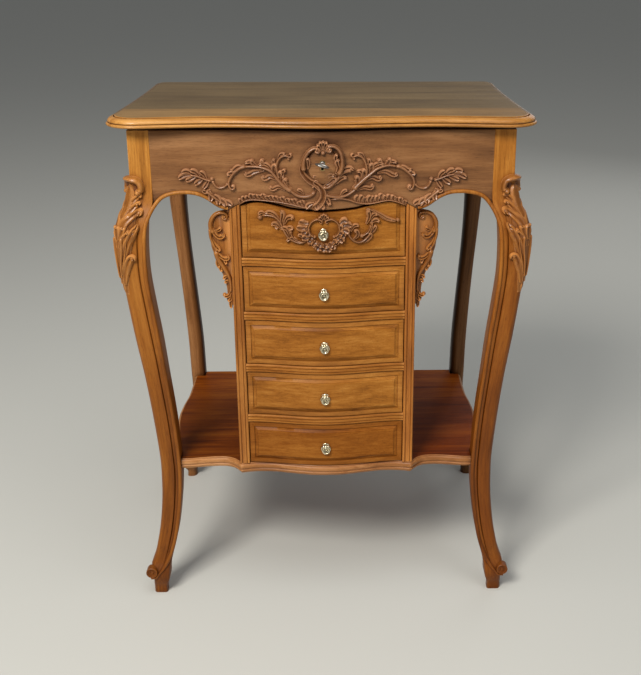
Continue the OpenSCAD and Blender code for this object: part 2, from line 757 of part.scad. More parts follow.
leg_front_left();
leg_front_right();
leg_rear_left();
leg_rear_right();
apron_front();
apron_back();
apron_left();
apron_right();
shelf();
stile_left();
stile_right();
bracket_left();
bracket_right();
cabinet_side_left();
cabinet_side_right();
cabinet_back();
compartment_floor();
compartment_dividers();
drawer_rail_1();
drawer_rail_2();
drawer_rail_3();
drawer_rail_4();
drawer_runners();
lock_case();
keyhole_escutcheon();
lock_bolt();
key();
link_plate();
lid_board();
hinge_frame_leaves();
hinge_lid_leaves();
hinge_pins();
frame_screws();
lid_screws();
drawer_1_front();
drawer_1_box();
drawer_1_bottom();
drawer_1_pull_plate();
drawer_1_ring();
drawer_2_front();
drawer_2_box();
drawer_2_bottom();
drawer_2_pull_plate();
drawer_2_ring();
drawer_3_front();
drawer_3_box();
drawer_3_bottom();
drawer_3_pull_plate();
drawer_3_ring();
drawer_4_front();
drawer_4_box();
drawer_4_bottom();
drawer_4_pull_plate();
drawer_4_ring();
drawer_5_front();
drawer_5_box();
drawer_5_bottom();
drawer_5_pull_plate();
drawer_5_ring();
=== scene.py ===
"""Looks of the carved walnut sewing table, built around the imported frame.

Shapes are worked out in millimetres, with y = 0 at the front edge of the flat of the top, and
go into the frame through Shape.build(). X runs to the right, Y to the back and Z up.
"""

import math

import bmesh
import bpy
import numpy as np
from mathutils import Matrix, Vector


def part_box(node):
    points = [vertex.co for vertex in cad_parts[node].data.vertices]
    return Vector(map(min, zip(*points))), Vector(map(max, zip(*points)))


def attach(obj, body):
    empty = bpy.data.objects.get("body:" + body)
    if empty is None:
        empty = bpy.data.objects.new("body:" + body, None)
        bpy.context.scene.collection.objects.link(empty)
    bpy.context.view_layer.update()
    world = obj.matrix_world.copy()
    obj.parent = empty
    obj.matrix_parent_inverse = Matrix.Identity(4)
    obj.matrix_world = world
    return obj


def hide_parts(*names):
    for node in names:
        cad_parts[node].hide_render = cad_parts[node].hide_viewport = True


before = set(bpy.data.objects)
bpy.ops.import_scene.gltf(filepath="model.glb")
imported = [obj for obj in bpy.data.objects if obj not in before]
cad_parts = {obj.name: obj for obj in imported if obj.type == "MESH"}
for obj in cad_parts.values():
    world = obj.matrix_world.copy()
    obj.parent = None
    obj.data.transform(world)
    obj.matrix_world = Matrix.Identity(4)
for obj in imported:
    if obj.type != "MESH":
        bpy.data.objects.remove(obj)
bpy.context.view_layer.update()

MM = 0.001
SIDES = ((-1, "left"), (1, "right"))
MOULDING = 14.0
lid_low, lid_high = (np.array(c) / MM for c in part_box("lid_board"))
FRONT_Y = lid_low[1] + MOULDING
TABLE_TOP = lid_high[2]
LID_UNDER = lid_low[2]
TOP_HALF = lid_high[0] - MOULDING
TOP_DEPTH = 350.0
TOP_WAVE = 12.0


def local_box(node):
    """(lowest corner, highest corner) of a CAD node in millimetres, as shapes are drawn here."""
    low, high = (np.array(c) / MM - (0, FRONT_Y, 0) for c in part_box(node))
    return low, high


FRAME_TOP = local_box("leg_front_right")[1][2]
POST_OUT = TOP_HALF - 16
POST_IN = POST_OUT - 30
FRAME_FRONT = 12.0
POST_BACK = 42.0
REAR_FRONT, REAR_MIDDLE = 332.0, 347.0
APRON_BACK = 32.0
OPENING_HALF, STILE_OUT = (corner[0] for corner in local_box("stile_right"))
SHELF_UNDER, SHELF_TOP = (corner[2] for corner in local_box("shelf"))
BOW = 14.0
BOSS_FRONT = -5.0
KEYHOLE_Z = FRAME_TOP - 43
OPENING_H = 70.0
RAIL_T = 12.0
DRAWER_PITCH = OPENING_H + RAIL_T

# ------------------------------------------------------------------ curves


def through(table, place, column=1):
    """Smooth curve through the rows of a table [place, value, value...], as in the CAD source."""
    t = np.array(table, float)
    x, v = t[:, 0], t[:, column]
    last = len(x) - 1
    slopes = np.array([
        (v[min(i + 1, last)] - v[max(i - 1, 0)]) / (x[min(i + 1, last)] - x[max(i - 1, 0)])
        for i in range(len(x))
    ])
    p = np.clip(np.asarray(place, float), x[0], x[-1])
    i = np.clip(np.searchsorted(x, p, side="right") - 1, 0, last - 1)
    h = x[i + 1] - x[i]
    u = (p - x[i]) / h
    return (
        (2 * u**3 - 3 * u**2 + 1) * v[i]
        + (u**3 - 2 * u**2 + u) * h * slopes[i]
        + (3 * u**2 - 2 * u**3) * v[i + 1]
        + (u**3 - u**2) * h * slopes[i + 1]
    )


# Outline of a cabriole leg: height, then how far its outer and its inner face stand out from
# the faces of the square head.
LEG = [
    [0, 11, 19.5], [12, 11, 19.5], [19, 16.5, 17], [31, 21.5, 14], [43, 18.5, 13.5], [56, 8, 11],
    [80, 3, 4.5], [114, -3.5, -3], [160, -8.5, -9], [201, -10, -12], [231, -9.8, -11.5],
    [296, -5.3, -8.5], [370, 1.5, -2.5], [432, 9, 2.5], [480, 14, 7.5], [530, 18.5, 12],
    [565, 19.5, 12.5], [598, 17, 11], [618, 12, 8.5], [636, 5, 0.5], [660, 1, 0], [738, 0, 0],
]
# The same for a rear leg, which runs down almost straight from its head to the shelf.
REAR_LEG = [
    [0, 8, 20], [12, 8, 20], [19, 14, 17], [31, 19, 14], [43, 16, 13.5], [56, 4, 11], [80, -1.5, 4.5],
    [114, -8, -3], [160, -15, -9], [201, -16.5, -12], [231, -16, -11.5], [296, -15, -10.5],
    [370, -12, -6.5], [432, -8.5, -2.5], [480, -5, 0.5], [530, -1.5, 2.5], [565, 0.5, 3],
    [618, 0.5, 1.5], [660, 0, 0], [738, 0, 0],
]
# Outer face of a front leg near the floor, where it flares out to the top of its scroll.
TOELESS = [
    [0, 10.5], [16, 10.5], [26, 10], [34, 10.5], [42, 11.5], [50, 13], [58, 10], [68, 6.5], [80, 3],
]
REAR_LEAN = [
    [0, 54], [31, 54], [56, 47], [100, 39.5], [160, 31], [231, 24], [296, 20], [400, 13], [468, 9.5],
    [565, 5], [618, 2], [650, 0], [738, 0],
]
CENTRE_EDGE = [
    [0, 109], [0.33, 106], [0.5, 101], [0.67, 97], [0.76, 98], [0.84, 101], [0.92, 105], [1, 111],
]
ARCH_EDGE = [
    [0, 111], [0.1, 109], [0.19, 103], [0.27, 96.5], [0.41, 90], [0.56, 88], [0.71, 89], [0.85, 93],
    [1, 104],
]
SIDE_DROP = [[0, 104], [0.12, 94], [0.3, 88], [0.5, 86.5], [0.7, 88], [0.88, 94], [1, 104]]
SHELF_FRONT = [
    [0, -2], [20, -1], [40, 2.5], [60, 7], [82, 11.5], [105, 12.5], [118, 11], [130, 8.5], [132, 9],
    [135, 13], [140, 20], [147, 26.5], [155, 30], [164, 31], [180, 30.5], [200, 27.5], [212, 25.5],
    [226, 25],
]
SHELF_SIDE = [[54, 243], [120, 243.5], [160, 248.5], [200, 250], [235, 248], [275, 244], [358, 243.5]]
WING = [
    [0, 7], [4, 21], [12, 26], [23, 29.5], [38, 30], [56, 28], [72, 21], [90, 16], [106, 11], [121, 9],
    [134, 10], [141, 4],
]


def leg_outer(z, table=LEG):
    return POST_OUT + through(table, z, 1)


def leg_inner(z, table=LEG):
    offset = through(table, z, 2)
    return POST_IN + np.where(z > 0.86 * FRAME_TOP, np.maximum(0, offset), offset)


def bow_y(x):
    """The bowed front of the apron, the rails and the drawers."""
    u = np.minimum(1, np.abs(x) / (OPENING_HALF + 3))
    return FRAME_FRONT - BOW * (1 + np.cos(np.pi * u)) / 2


def edge_z(x):
    """Height of the lower edge of the front apron."""
    u = np.abs(np.asarray(x, float))
    span = POST_IN - STILE_OUT
    return FRAME_TOP - np.where(
        u < STILE_OUT,
        through(CENTRE_EDGE, u / STILE_OUT),
        through(ARCH_EDGE, np.clip((u - STILE_OUT) / span, 0, 1)),
    )


def opening_z(n):
    """Floor of the opening of drawer n, counted from the top."""
    return SHELF_TOP + (5 - n) * DRAWER_PITCH


# ------------------------------------------------------------------ meshes

SMOOTH_ANGLE = 42
WELD = 2e-6
FLAT_AREA = 0.01


class Shape:
    """A mesh in the making: points in millimetres and faces."""

    def __init__(self, rings=None, grain=None):
        self.points, self.faces, self.grain = [], [], []
        self.count = 0
        if rings is not None:
            self.solid(rings, grain)

    def add(self, points, grain=None):
        points = np.asarray(points, float).reshape(-1, 3)
        self.points.append(points)
        self.grain.append(points if grain is None else np.asarray(grain, float).reshape(-1, 3))
        first = self.count
        self.count += len(points)
        return first

    def grid(self, points, loop_rows=False, loop_columns=False, caps=False, grain=None):
        """Faces over a grid of points, rows by columns, closed round either way if asked."""
        points = np.asarray(points, float)
        rows, columns = points.shape[:2]
        first = self.add(points, grain)
        for r in range(rows if loop_rows else rows - 1):
            a = first + r * columns
            b = first + (r + 1) % rows * columns
            for c in range(columns if loop_columns else columns - 1):
                d = (c + 1) % columns
                self.faces.append((a + c, a + d, b + d, b + c))
        if caps:
            self.faces.append(tuple(first + c for c in range(columns)))
            self.faces.append(tuple(first + (rows - 1) * columns + c for c in range(columns)))
        return first

    def solid(self, rings, grain=None):
        """A closed form through rings of points."""
        self.grid(rings, loop_columns=True, caps=True, grain=grain)

    def mesh(self, name):
        points = np.concatenate(self.points)
        made = bpy.data.meshes.new(name)
        place = (points + (0, FRONT_Y, 0)) * MM
        made.from_pydata(place.tolist(), [], self.faces)
        grain = made.attributes.new("grain", "FLOAT_VECTOR", "POINT")
        grain.data.foreach_set("vector", (np.concatenate(self.grain) * MM).astype(np.float32).ravel())
        bm = bmesh.new()
        bm.from_mesh(made)
        bmesh.ops.remove_doubles(bm, verts=bm.verts, dist=WELD)
        bmesh.ops.recalc_face_normals(bm, faces=bm.faces)
        bm.to_mesh(made)
        bm.free()
        return made

    def build(self, name, material, body, slot, *nodes, cutters=(), flat_material=None):
        """The finished piece, riding on a body and standing for the CAD nodes named. Its level
        faces take flat_material where one is given."""
        obj = bpy.data.objects.new(name, self.mesh(name))
        bpy.context.scene.collection.objects.link(obj)
        for cutter in cutters:
            cut(obj, cutter)
        obj.data.polygons.foreach_set("use_smooth", [True] * len(obj.data.polygons))
        obj.data.set_sharp_from_angle(angle=math.radians(SMOOTH_ANGLE))
        obj.data.materials.clear()
        obj.data.materials.append(material)
        if flat_material:
            obj.data.materials.append(flat_material)
            for face in obj.data.polygons:
                face.material_index = int(abs(face.normal.z) > 0.98 and face.area > FLAT_AREA)
        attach(obj, body)
        if nodes:
            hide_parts(*nodes)
        return obj


def cut(obj, cutter):
    """Cuts a closed Shape out of an object."""
    tool = bpy.data.objects.new("cutter", cutter.mesh("cutter"))
    bpy.context.scene.collection.objects.link(tool)
    boolean = obj.modifiers.new("cut", "BOOLEAN")
    boolean.operation = "DIFFERENCE"
    boolean.solver = "EXACT"
    boolean.object = tool
    graph = bpy.context.evaluated_depsgraph_get()
    done = bpy.data.meshes.new_from_object(obj.evaluated_get(graph))
    obj.modifiers.clear()
    obj.data = done
    bpy.data.objects.remove(tool)


def block(low, high):
    """A plain box, used as a cutter."""
    (x0, y0, z0), (x1, y1, z1) = low, high
    ring = [(x0, y0), (x1, y0), (x1, y1), (x0, y1)]
    return Shape([[(x, y, z) for x, y in ring] for z in (z0, z1)])


def turns(n):
    """n angles that go once round, in radians."""
    return np.linspace(0, 2 * math.pi, n, endpoint=False)


def unit(rows):
    """Vectors made 1 long."""
    return rows / (np.linalg.norm(rows, axis=-1, keepdims=True) + 1e-9)


def symmetric(half):
    """The closed outline whose right half is given, from the middle of the front to that of the back."""
    return np.concatenate([half, half[1:-1][::-1] * (-1, 1)])


def arc(cx, cy, r, start, end, n):
    """n points of an arc, with its angles in degrees."""
    a = np.radians(np.linspace(start, end, n))
    return np.stack([cx + r * np.cos(a), cy + r * np.sin(a)], -1)


# ------------------------------------------------------------------ carving

# Sections of a ridge, from side to side: place across and height, as shares of its half-width and height.
ROUND = [(math.cos(a), math.sin(a)) for a in np.linspace(math.pi, 0, 9)]
CHANNEL = [(-1, 0), (-0.96, 0.6), (-0.74, 1), (-0.42, 0.78), (0, 0.5), (0.42, 0.78), (0.74, 1),
           (0.96, 0.6), (1, 0)]
VEINED = [(-1, 0), (-0.93, 0.5), (-0.6, 0.97), (-0.22, 0.9), (0, 0.62), (0.22, 0.9),
          (0.6, 0.97), (0.93, 0.5), (1, 0)]
# How deep a ridge is let into its ground, and how much wider and higher marks are cut than stated.
SINK, BOLD, RELIEF = 0.8, 1.35, 1.65


def front_surface(x, z):
    """The bowed front that the apron, rails and drawers share, with its normal."""
    lean = bow_y(x + 0.5) - bow_y(x - 0.5)
    size = np.sqrt(1 + lean**2)
    return np.stack([x, bow_y(x), z], -1), np.stack([lean / size, -1 / size, 0 * x], -1)


def flat_surface(y):
    """An upright plane that faces the front."""
    def place(x, z):
        return np.stack([x, 0 * x + y, z], -1), np.stack([0 * x, 0 * x - 1, 0 * x], -1)
    return place


def smooth_path(points, step=1.3):
    """Evenly spaced points of a smooth curve through the given ones."""
    p = np.reshape(points, (-1, 2)).astype(float)
    chord = np.concatenate([[0], np.cumsum(np.linalg.norm(np.diff(p, axis=0), axis=1))])
    dense = np.linspace(0, chord[-1], 16 * len(p))
    rows = np.column_stack([chord, p])
    q = np.stack([through(rows, dense, 1), through(rows, dense, 2)], -1)
    run = np.concatenate([[0], np.cumsum(np.linalg.norm(np.diff(q, axis=0), axis=1))])
    n = max(9, int(run[-1] / step))
    even = np.linspace(0, run[-1], n)
    return np.stack([np.interp(even, run, q[:, k]) for k in range(2)], -1)


def wound(points, radius, rounds, side):
    """The path carried on into a volute, which winds to the left if side is 1."""
    p = np.reshape(points, (-1, 2)).astype(float)
    along = unit(p[-1] - p[-2])
    left = side * np.array([-along[1], along[0]])
    centre = p[-1] + left * radius
    start = math.atan2(-left[1], -left[0])
    steps = int(rounds * 10)
    more = []
    for k in range(1, steps + 1):
        a = start + side * 2 * math.pi * k / 10
        r = radius * (1 - 0.7 * k / steps)
        more.append((centre[0] + r * math.cos(a), centre[1] + r * math.sin(a)))
    return np.concatenate([p, more])


def stroke(shape, surface, path, width, height, section):
    """A closed ridge along a path, with its half-width and height at each point of the path."""
    along = unit(np.gradient(path, axis=0))
    across = np.stack([-along[:, 1], along[:, 0]], -1)
    s = np.array(section, float)
    uv = path[:, None] + across[:, None] * (width[:, None] * s[:, 0])[..., None]
    up = height[:, None] * s[:, 1] - SINK * (s[:, 1] <= 1e-6)
    place, normal = surface(uv[..., 0], uv[..., 1])
    shape.solid(place + normal * up[..., None])


def band(shape, surface, points, w0, w1, high, section=ROUND):
    """A scroll: a ridge that changes evenly from one half-width to the other, with soft ends."""
    path = smooth_path(points)
    s = np.linspace(0, 1, len(path))
    ends = np.sqrt(np.clip(np.minimum(s, 1 - s) * 14, 0.02, 1))
    width = (w0 + (w1 - w0) * s) * np.clip(ends, 0.35, 1) * (1 + (BOLD - 1) * 0.6)
    rise = high * RELIEF * ends * (0.75 + 0.2 * width / max(w0, w1))
    stroke(shape, surface, path, width, rise, section)


def leaf(shape, surface, points, half, high, scallops=0, root=0.3, bud=True):
    """A leaf or lobe: it swells from its root and ends in a round bud that curls up."""
    path = smooth_path(points, 1.0)
    s = np.linspace(0, 1, len(path))
    swell = root + (1 - root) * np.sin(np.pi / 2 * np.minimum(s / 0.62, 1))
    tip = np.sqrt(np.clip(1 - (np.maximum(s - 0.62, 0) / 0.385) ** 2, 0.01, 1))
    width = half * BOLD * swell * tip
    if scallops:
        width *= 0.8 + 0.2 * np.abs(np.sin(np.pi * scallops * s))
    rise = high * RELIEF * (0.5 + 0.65 * s**2) * np.clip(tip * 1.6, 0.15, 1)
    stroke(shape, surface, path, width, rise, VEINED)
    if bud:
        end = path[int(len(path) * 0.84)]
        ball(shape, surface, [end], half * 0.72, high * 1.22)


def sprig(shape, surface, points, half, high):
    """A pointed leaf without a bud."""
    leaf(shape, surface, points, half, high, 0, 0.5, False)


def ball(shape, surface, points, r, high):
    """A round bud or the eye of a volute, at the one point given."""
    rings = []
    x, z = points[0]
    r, high = r * 1.15, high * 1.3
    for a in np.linspace(0, math.pi / 2, 6):
        t = turns(12)
        place, normal = surface(x + r * np.cos(a) * np.cos(t), z + r * np.cos(a) * np.sin(t))
        rings.append(place + normal * (high * math.sin(a) - SINK * (a == 0)))
    shape.solid(rings)


def fringe(shape, surface, root, tips, count, high, lean=0.0, fat=0.62):
    """A ruffled edge: lobes in a row, from one line out to another."""
    a, b = smooth_path(root, 0.5), smooth_path(tips, 0.5)
    for k in range(count):
        u = (k + 0.5) / count
        start = a[int(u * (len(a) - 1))]
        v = min(1, max(0, u + lean))
        end = b[int(v * (len(b) - 1))]
        end = start + (end - start) * (0.94 + 0.16 * math.sin(2.4 * k))
        bend = np.array([-(end - start)[1], (end - start)[0]]) * 0.14
        middle = (start + end) / 2 + bend
        span = np.linalg.norm(b[-1] - b[0]) / count
        width = max(span, np.linalg.norm(np.diff(b, axis=0), axis=1).sum() / count) * fat
        leaf(shape, surface, [start, middle, end], width, high * (0.85 + 0.3 * (k % 2)),
             root=0.45, bud=False)


def spray(shape, surface, points, half, high, lobes, length, side=0, angle=42):
    """An acanthus: a rib with lobes on one side (1 left, -1 right) or on both (0)."""
    path = smooth_path(points, 0.8)
    along = unit(np.gradient(path, axis=0))
    for k in range(lobes):
        u = 0.12 + 0.8 * k / lobes
        i = int(u * (len(path) - 1))
        reach = length * (0.55 + 0.6 * math.sin(math.pi * (0.25 + 0.7 * u)))
        for s in ([side] if side else [1, -1]):
            a = math.radians(angle) * s
            turn = np.array([[math.cos(a), -math.sin(a)], [math.sin(a), math.cos(a)]])
            out = turn @ along[i]
            hook = np.array([-out[1], out[0]]) * s
            p0 = path[i]
            p1 = p0 + out * reach * 0.5 - hook * reach * 0.1
            p2 = p0 + out * reach * 0.85 + hook * reach * 0.02
            p3 = p2 + (out * 0.3 + hook * 0.8) * reach * 0.25
            leaf(shape, surface, [p0, p1, p2, p3], reach * 0.26, high)
    band(shape, surface, points, half, half * 0.45, high * 1.15)


def ray(x, z, angle, *reaches):
    """Points at some distances from (x, z), all in one direction."""
    a = math.radians(angle)
    return [(x + r * math.cos(a), z + r * math.sin(a)) for r in reaches]


def carve(shape, surface, marks, side=1):
    """Draws marks on a surface, each a tool with its points (x, z, x, z...) and its sizes. They
    are mirrored if side is -1."""
    for tool, points, *sizes in marks:
        tool(shape, surface, np.reshape(points, (-1, 2)) * (side, 1), *sizes)


# ------------------------------------------------------------------ materials


class Shading:
    """A new material, with short ways to add nodes to it and to join them."""

    def __init__(self, name):
        self.material = bpy.data.materials.new(name)
        self.material.use_nodes = True
        self.nodes = self.material.node_tree.nodes
        self.link = self.material.node_tree.links.new
        self.inputs = self.nodes["Principled BSDF"].inputs

    def add(self, kind, **values):
        """A node; a value whose name starts with _ is a setting of it, any other is an input."""
        node = self.nodes.new(kind)
        for key, value in values.items():
            if key.startswith("_"):
                setattr(node, key[1:], value)
        for key, value in values.items():
            if not key.startswith("_"):
                node.inputs[key.replace("_", " ")].default_value = value
        return node

    def feed(self, socket, value):
        """Gives an input a number, a colour or the output of another node."""
        if isinstance(value, tuple):
            socket.default_value = (*value, 1)
        elif isinstance(value, (int, float)):
            socket.default_value = value
        else:
            self.link(value, socket)

    def set(self, **values):
        for key, value in values.items():
            self.feed(self.inputs[key.replace("_", " ")], value)

    def calc(self, kind, a, b):
        node = self.add("ShaderNodeMath", _operation=kind)
        self.feed(node.inputs[0], a)
        self.feed(node.inputs[1], b)
        return node.outputs[0]

    def mix(self, kind, amount, a, b):
        node = self.add("ShaderNodeMix", _data_type="RGBA", _blend_type=kind)
        for socket, value in ((0, amount), (6, a), (7, b)):
            self.feed(node.inputs[socket], value)
        return node.outputs[2]

    def ramp(self, source, stops):
        node = self.add("ShaderNodeValToRGB")
        elements = node.color_ramp.elements
        while len(elements) < len(stops):
            elements.new(0.5)
        for element, (place, colour) in zip(elements, stops):
            element.position = place
            element.color = (*colour, 1)
        self.link(source, node.inputs["Fac"])
        return node.outputs["Color"]

    def hollows(self, reach, deep, open_at):
        """A tint that is the colour of deep, at its place, in hollows, and white in the open."""
        node = self.add("ShaderNodeAmbientOcclusion", Distance=reach, _samples=6)
        return self.ramp(node.outputs["AO"], [deep, (open_at, WHITE)])

    def noise(self, source, **values):
        node = self.add("ShaderNodeTexNoise", **values)
        self.link(source, node.inputs["Vector"])
        return node.outputs["Fac"]

    def bump(self, height, strength, distance):
        node = self.add("ShaderNodeBump", Strength=strength, Distance=distance)
        self.link(height, node.inputs["Height"])
        self.set(Normal=node.outputs["Normal"])


WHITE = (1, 1, 1)
# Colour of the darkening in hollows: painted shade and grime.
GRIME_AND_SHADE = (0.26, 0.12, 0.05)
GRAIN_TURN = {"x": (0, 0, 0), "y": (0, 0, math.pi / 2), "z": (0, math.pi / 2, 0),
              "own": (0, math.pi / 2, 0)}
TONE_GAIN = 2.0
# What is added to a coordinate, in metres, to give its place on a ramp of tints.
TONE_START = {"X": 0.5, "Y": 0.25, "Z": 0.25}


def wood(name, dark, middle, light, along, rough=0.42, coat=0.0, grime_and_shade=0.7, wear_and_highlight=0.2, seed=0.0,
         contrast=0.75, streak=0.9, specular=0.3, tints_and_shade=None):
    """Varnished wood whose grain runs along x, y or z, or up the piece's own grain coordinates.
    The tints given for an axis, at places along it, are laid on the wood there; on some pieces they are
    painted shade or painted light. Hollows are darkened, painted shade and grime together, and pointed
    edges are paled, wear and a painted highlight together."""
    made = Shading(name)
    if along == "own":
        coordinates = made.add("ShaderNodeAttribute", _attribute_name="grain").outputs["Vector"]
    else:
        coordinates = made.add("ShaderNodeTexCoord").outputs["Object"]
    shift = (seed, seed * 1.7, seed * 2.3)
    turned = made.add("ShaderNodeMapping", Location=shift, Rotation=GRAIN_TURN[along])
    made.link(coordinates, turned.inputs["Vector"])

    def grain(run, cross, detail=3.0, distortion=0.0):
        """Noise drawn out along the grain; run and cross are how often it changes in a metre."""
        stretched = made.add("ShaderNodeMapping", Scale=(run, cross, cross))
        made.link(turned.outputs["Vector"], stretched.inputs["Vector"])
        return made.noise(stretched.outputs["Vector"], Scale=1.0, Detail=detail, Roughness=0.55,
                          Distortion=distortion)

    rings = made.calc("SINE", made.calc("MULTIPLY", grain(2.2, 17, 2.0, 0.4), 62.0), 0.0)
    figure, cloud = grain(4, 45, 4.0, 0.7), grain(6, 8, 2.0)
    fibre, fine, pores = grain(13, 380), grain(55, 1500, 2.0), grain(95, 2300, 1.0)
    tone = made.calc("ADD", made.calc("MULTIPLY", rings, 0.055 * contrast), 0.5)
    weights = ((figure, 1.5 * contrast), (fibre, streak * contrast), (fine, 0.35),
               (cloud, 0.9 * contrast))
    for layer, weight in weights:
        part = made.calc("MULTIPLY", made.calc("SUBTRACT", layer, 0.5), weight)
        tone = made.calc("ADD", tone, part)
    colour = made.ramp(tone, [(0.05, dark), (0.5, middle), (0.95, light)])
    pits = made.ramp(pores, [(0.30, (0.45, 0.40, 0.36)), (0.40, WHITE)])
    colour = made.mix("MULTIPLY", 0.7, colour, pits)
    # Hollows are darkened where ambient occlusion finds them: painted shade and grime together.
    colour = made.mix("MULTIPLY", grime_and_shade, colour, made.hollows(0.009, (0.35, GRIME_AND_SHADE), 0.95))
    # Pointed edges and tips are paled: partly wear, partly a painted highlight.
    if wear_and_highlight:
        edge = made.add("ShaderNodeNewGeometry").outputs["Pointiness"]
        amount = made.calc("MULTIPLY", made.ramp(edge, [(0.53, (0, 0, 0)), (0.63, WHITE)]), wear_and_highlight)
        colour = made.mix("MIX", amount, colour, tuple(min(1.0, c * 1.9 + 0.05) for c in light))
    place = made.add("ShaderNodeSeparateXYZ")
    made.link(coordinates, place.inputs[0])
    # Tints by place along an axis; on some pieces they are painted shade or painted light.
    for axis, stops in (tints_and_shade or {}).items():
        tint = made.ramp(made.calc("ADD", place.outputs[axis], TONE_START[axis]), stops)
        tint = made.mix("MULTIPLY", 1.0, tint, (TONE_GAIN,) * 3)
        colour = made.mix("MULTIPLY", 1.0, colour, tint)
    gloss = made.calc("ADD", made.calc("MULTIPLY", fibre, 0.16), rough - 0.08)
    made.set(Base_Color=colour, Roughness=gloss, Coat_Weight=coat, Coat_Roughness=0.16,
             Specular_IOR_Level=specular)
    relief = made.calc("ADD", made.calc("MULTIPLY", fine, 0.5), made.calc("MULTIPLY", pores, 0.5))
    made.bump(relief, 0.22, 0.0005)
    return made.material


def metal(name, bright, dull, rough, grime=0.5):
    """Aged metal: bright where it is rubbed, dull and rougher in blotches and hollows."""
    made = Shading(name)
    coordinates = made.add("ShaderNodeTexCoord").outputs["Object"]
    blotch = made.noise(coordinates, Scale=260.0, Detail=4.0, Roughness=0.6)
    colour = made.ramp(blotch, [(0.38, dull), (0.58, bright)])
    colour = made.mix("MULTIPLY", grime, colour, made.hollows(0.004, (0.3, (0.16, 0.12, 0.07)), 0.9))
    scratches = made.calc("MULTIPLY", made.noise(coordinates, Scale=900.0, Detail=2.0), 0.25)
    made.set(Base_Color=colour, Metallic=1.0, Roughness=made.calc("ADD", scratches, rough - 0.12))
    made.bump(blotch, 0.15, 0.0002)
    return made.material


HONEY = ((0.120, 0.034, 0.004), (0.290, 0.100, 0.013), (0.450, 0.190, 0.036))
RUSSET = ((0.090, 0.034, 0.011), (0.215, 0.092, 0.031), (0.340, 0.165, 0.065))
# The next palette, for the top, is walnut with a painted grey-green reflection mixed into its colour.
OLIVE_PAINTED_REFLECTION = ((0.060, 0.036, 0.016), (0.125, 0.082, 0.036), (0.200, 0.135, 0.062))
GOLD = ((0.190, 0.072, 0.012), (0.400, 0.175, 0.035), (0.600, 0.310, 0.090))
DEEP = ((0.055, 0.010, 0.001), (0.130, 0.030, 0.002), (0.200, 0.060, 0.007))
OAK = ((0.200, 0.110, 0.048), (0.330, 0.200, 0.098), (0.450, 0.300, 0.160))
CARVED = ((0.074, 0.024, 0.007), (0.180, 0.070, 0.022), (0.310, 0.140, 0.055))
AMBER = ((0.150, 0.048, 0.010), (0.330, 0.130, 0.036), (0.520, 0.245, 0.095))
TAWNY = ((0.080, 0.025, 0.005), (0.190, 0.070, 0.017), (0.320, 0.135, 0.040))

# Tints laid on the woods by place, as shares of TONE_GAIN, at their places on the ramps; some are painted
# shade or painted light. Along X a leg counts from its own grain: the rear legs lie about 0.71 and 0.89 on
# that ramp, the front ones 0.41 and 0.59.
# The legs are darker toward the floor and brighter and bluer at their heads; across X the right front leg
# is painted darker, as painted shade.
LEG_TINTS_AND_SHADE = {
    "Z": [(0.25, (0.30, 0.24, 0.17)), (0.45, (0.38, 0.33, 0.24)), (0.75, (0.48, 0.44, 0.34)),
          (0.88, (0.53, 0.54, 0.52)), (0.93, (0.74, 0.86, 1.0))],
    "X": [(0.45, (0.5, 0.5, 0.5)), (0.55, (0.43, 0.39, 0.33))],
}
# Painted light and shade across the rear legs: their inner faces painted dark as in shade, the face of the
# left one painted lit, and the right one painted darker.
REAR_PAINTED_LIGHT_AND_SHADE = {
    "X": [(0.698, (0.16, 0.12, 0.09)), (0.707, (0.62, 0.60, 0.56)), (0.78, (0.62, 0.60, 0.56)),
          (0.80, (0.11, 0.10, 0.09)), (0.879, (0.11, 0.10, 0.09)), (0.888, (0.34, 0.33, 0.31))],
}
TOP_TONES = {"Y": [(0.128, (0.80, 0.70, 0.575)), (0.131, (0.5, 0.5, 0.5))]}
# On the top's moulded edge: painted shadow on the set-back neck under the bead, the rest toned down a
# little, and painted shade, darker and bluer, toward the back.
EDGE_TINTS_AND_SHADE = {
    "Z": [(0.9925, (0.10, 0.08, 0.06)), (0.9945, (0.46, 0.44, 0.38))],
    "Y": [(0.072, (0.5, 0.5, 0.5)), (0.10, (0.19, 0.24, 0.40))],
}
SHELF_TONES = {
    "Y": [(0.10, (0.46, 0.42, 0.30)), (0.26, (0.54, 0.5, 0.38)), (0.40, (1.0, 0.98, 0.80))],
    "X": [(0.40, (0.5, 0.5, 0.5)), (0.60, (0.58, 0.49, 0.38))],
}
FRONT_TONES = {
    "X": [(0.40, (0.50, 0.52, 0.57)), (0.60, (0.58, 0.62, 0.67))],
    "Z": [(0.545, (0.37, 0.31, 0.22)), (0.56, (0.51, 0.51, 0.51))],
}
UPRIGHT_TONES = {"X": [(0.45, (0.50, 0.48, 0.46)), (0.55, (0.60, 0.57, 0.52))]}
leg_wood = wood("walnut_legs", *HONEY, "own", seed=0.31, specular=0.2, tints_and_shade=LEG_TINTS_AND_SHADE)
# The rear legs take a darker walnut than the front ones: painted shade.
rear_legs_painted_shade = wood("walnut_rear_legs_painted_shade", *RUSSET, "own", seed=0.31, specular=0.15, tints_and_shade=REAR_PAINTED_LIGHT_AND_SHADE)
stile_wood = wood("walnut_upright", *HONEY, "z", seed=1.2, tints_and_shade=UPRIGHT_TONES)
rail_wood = wood("walnut_rails", *HONEY, "x", seed=2.4, wear_and_highlight=0.4, specular=0.15)
case_wood = wood("walnut_case", *RUSSET, "z", seed=3.5, wear_and_highlight=0.0)
apron_wood = wood("walnut_apron", *RUSSET, "x", seed=4.1, streak=0.35, contrast=0.9)
carved_wood = wood("walnut_carving", *CARVED, "x", seed=4.1, grime_and_shade=0.9, wear_and_highlight=0.85, rough=0.36, coat=0.14)
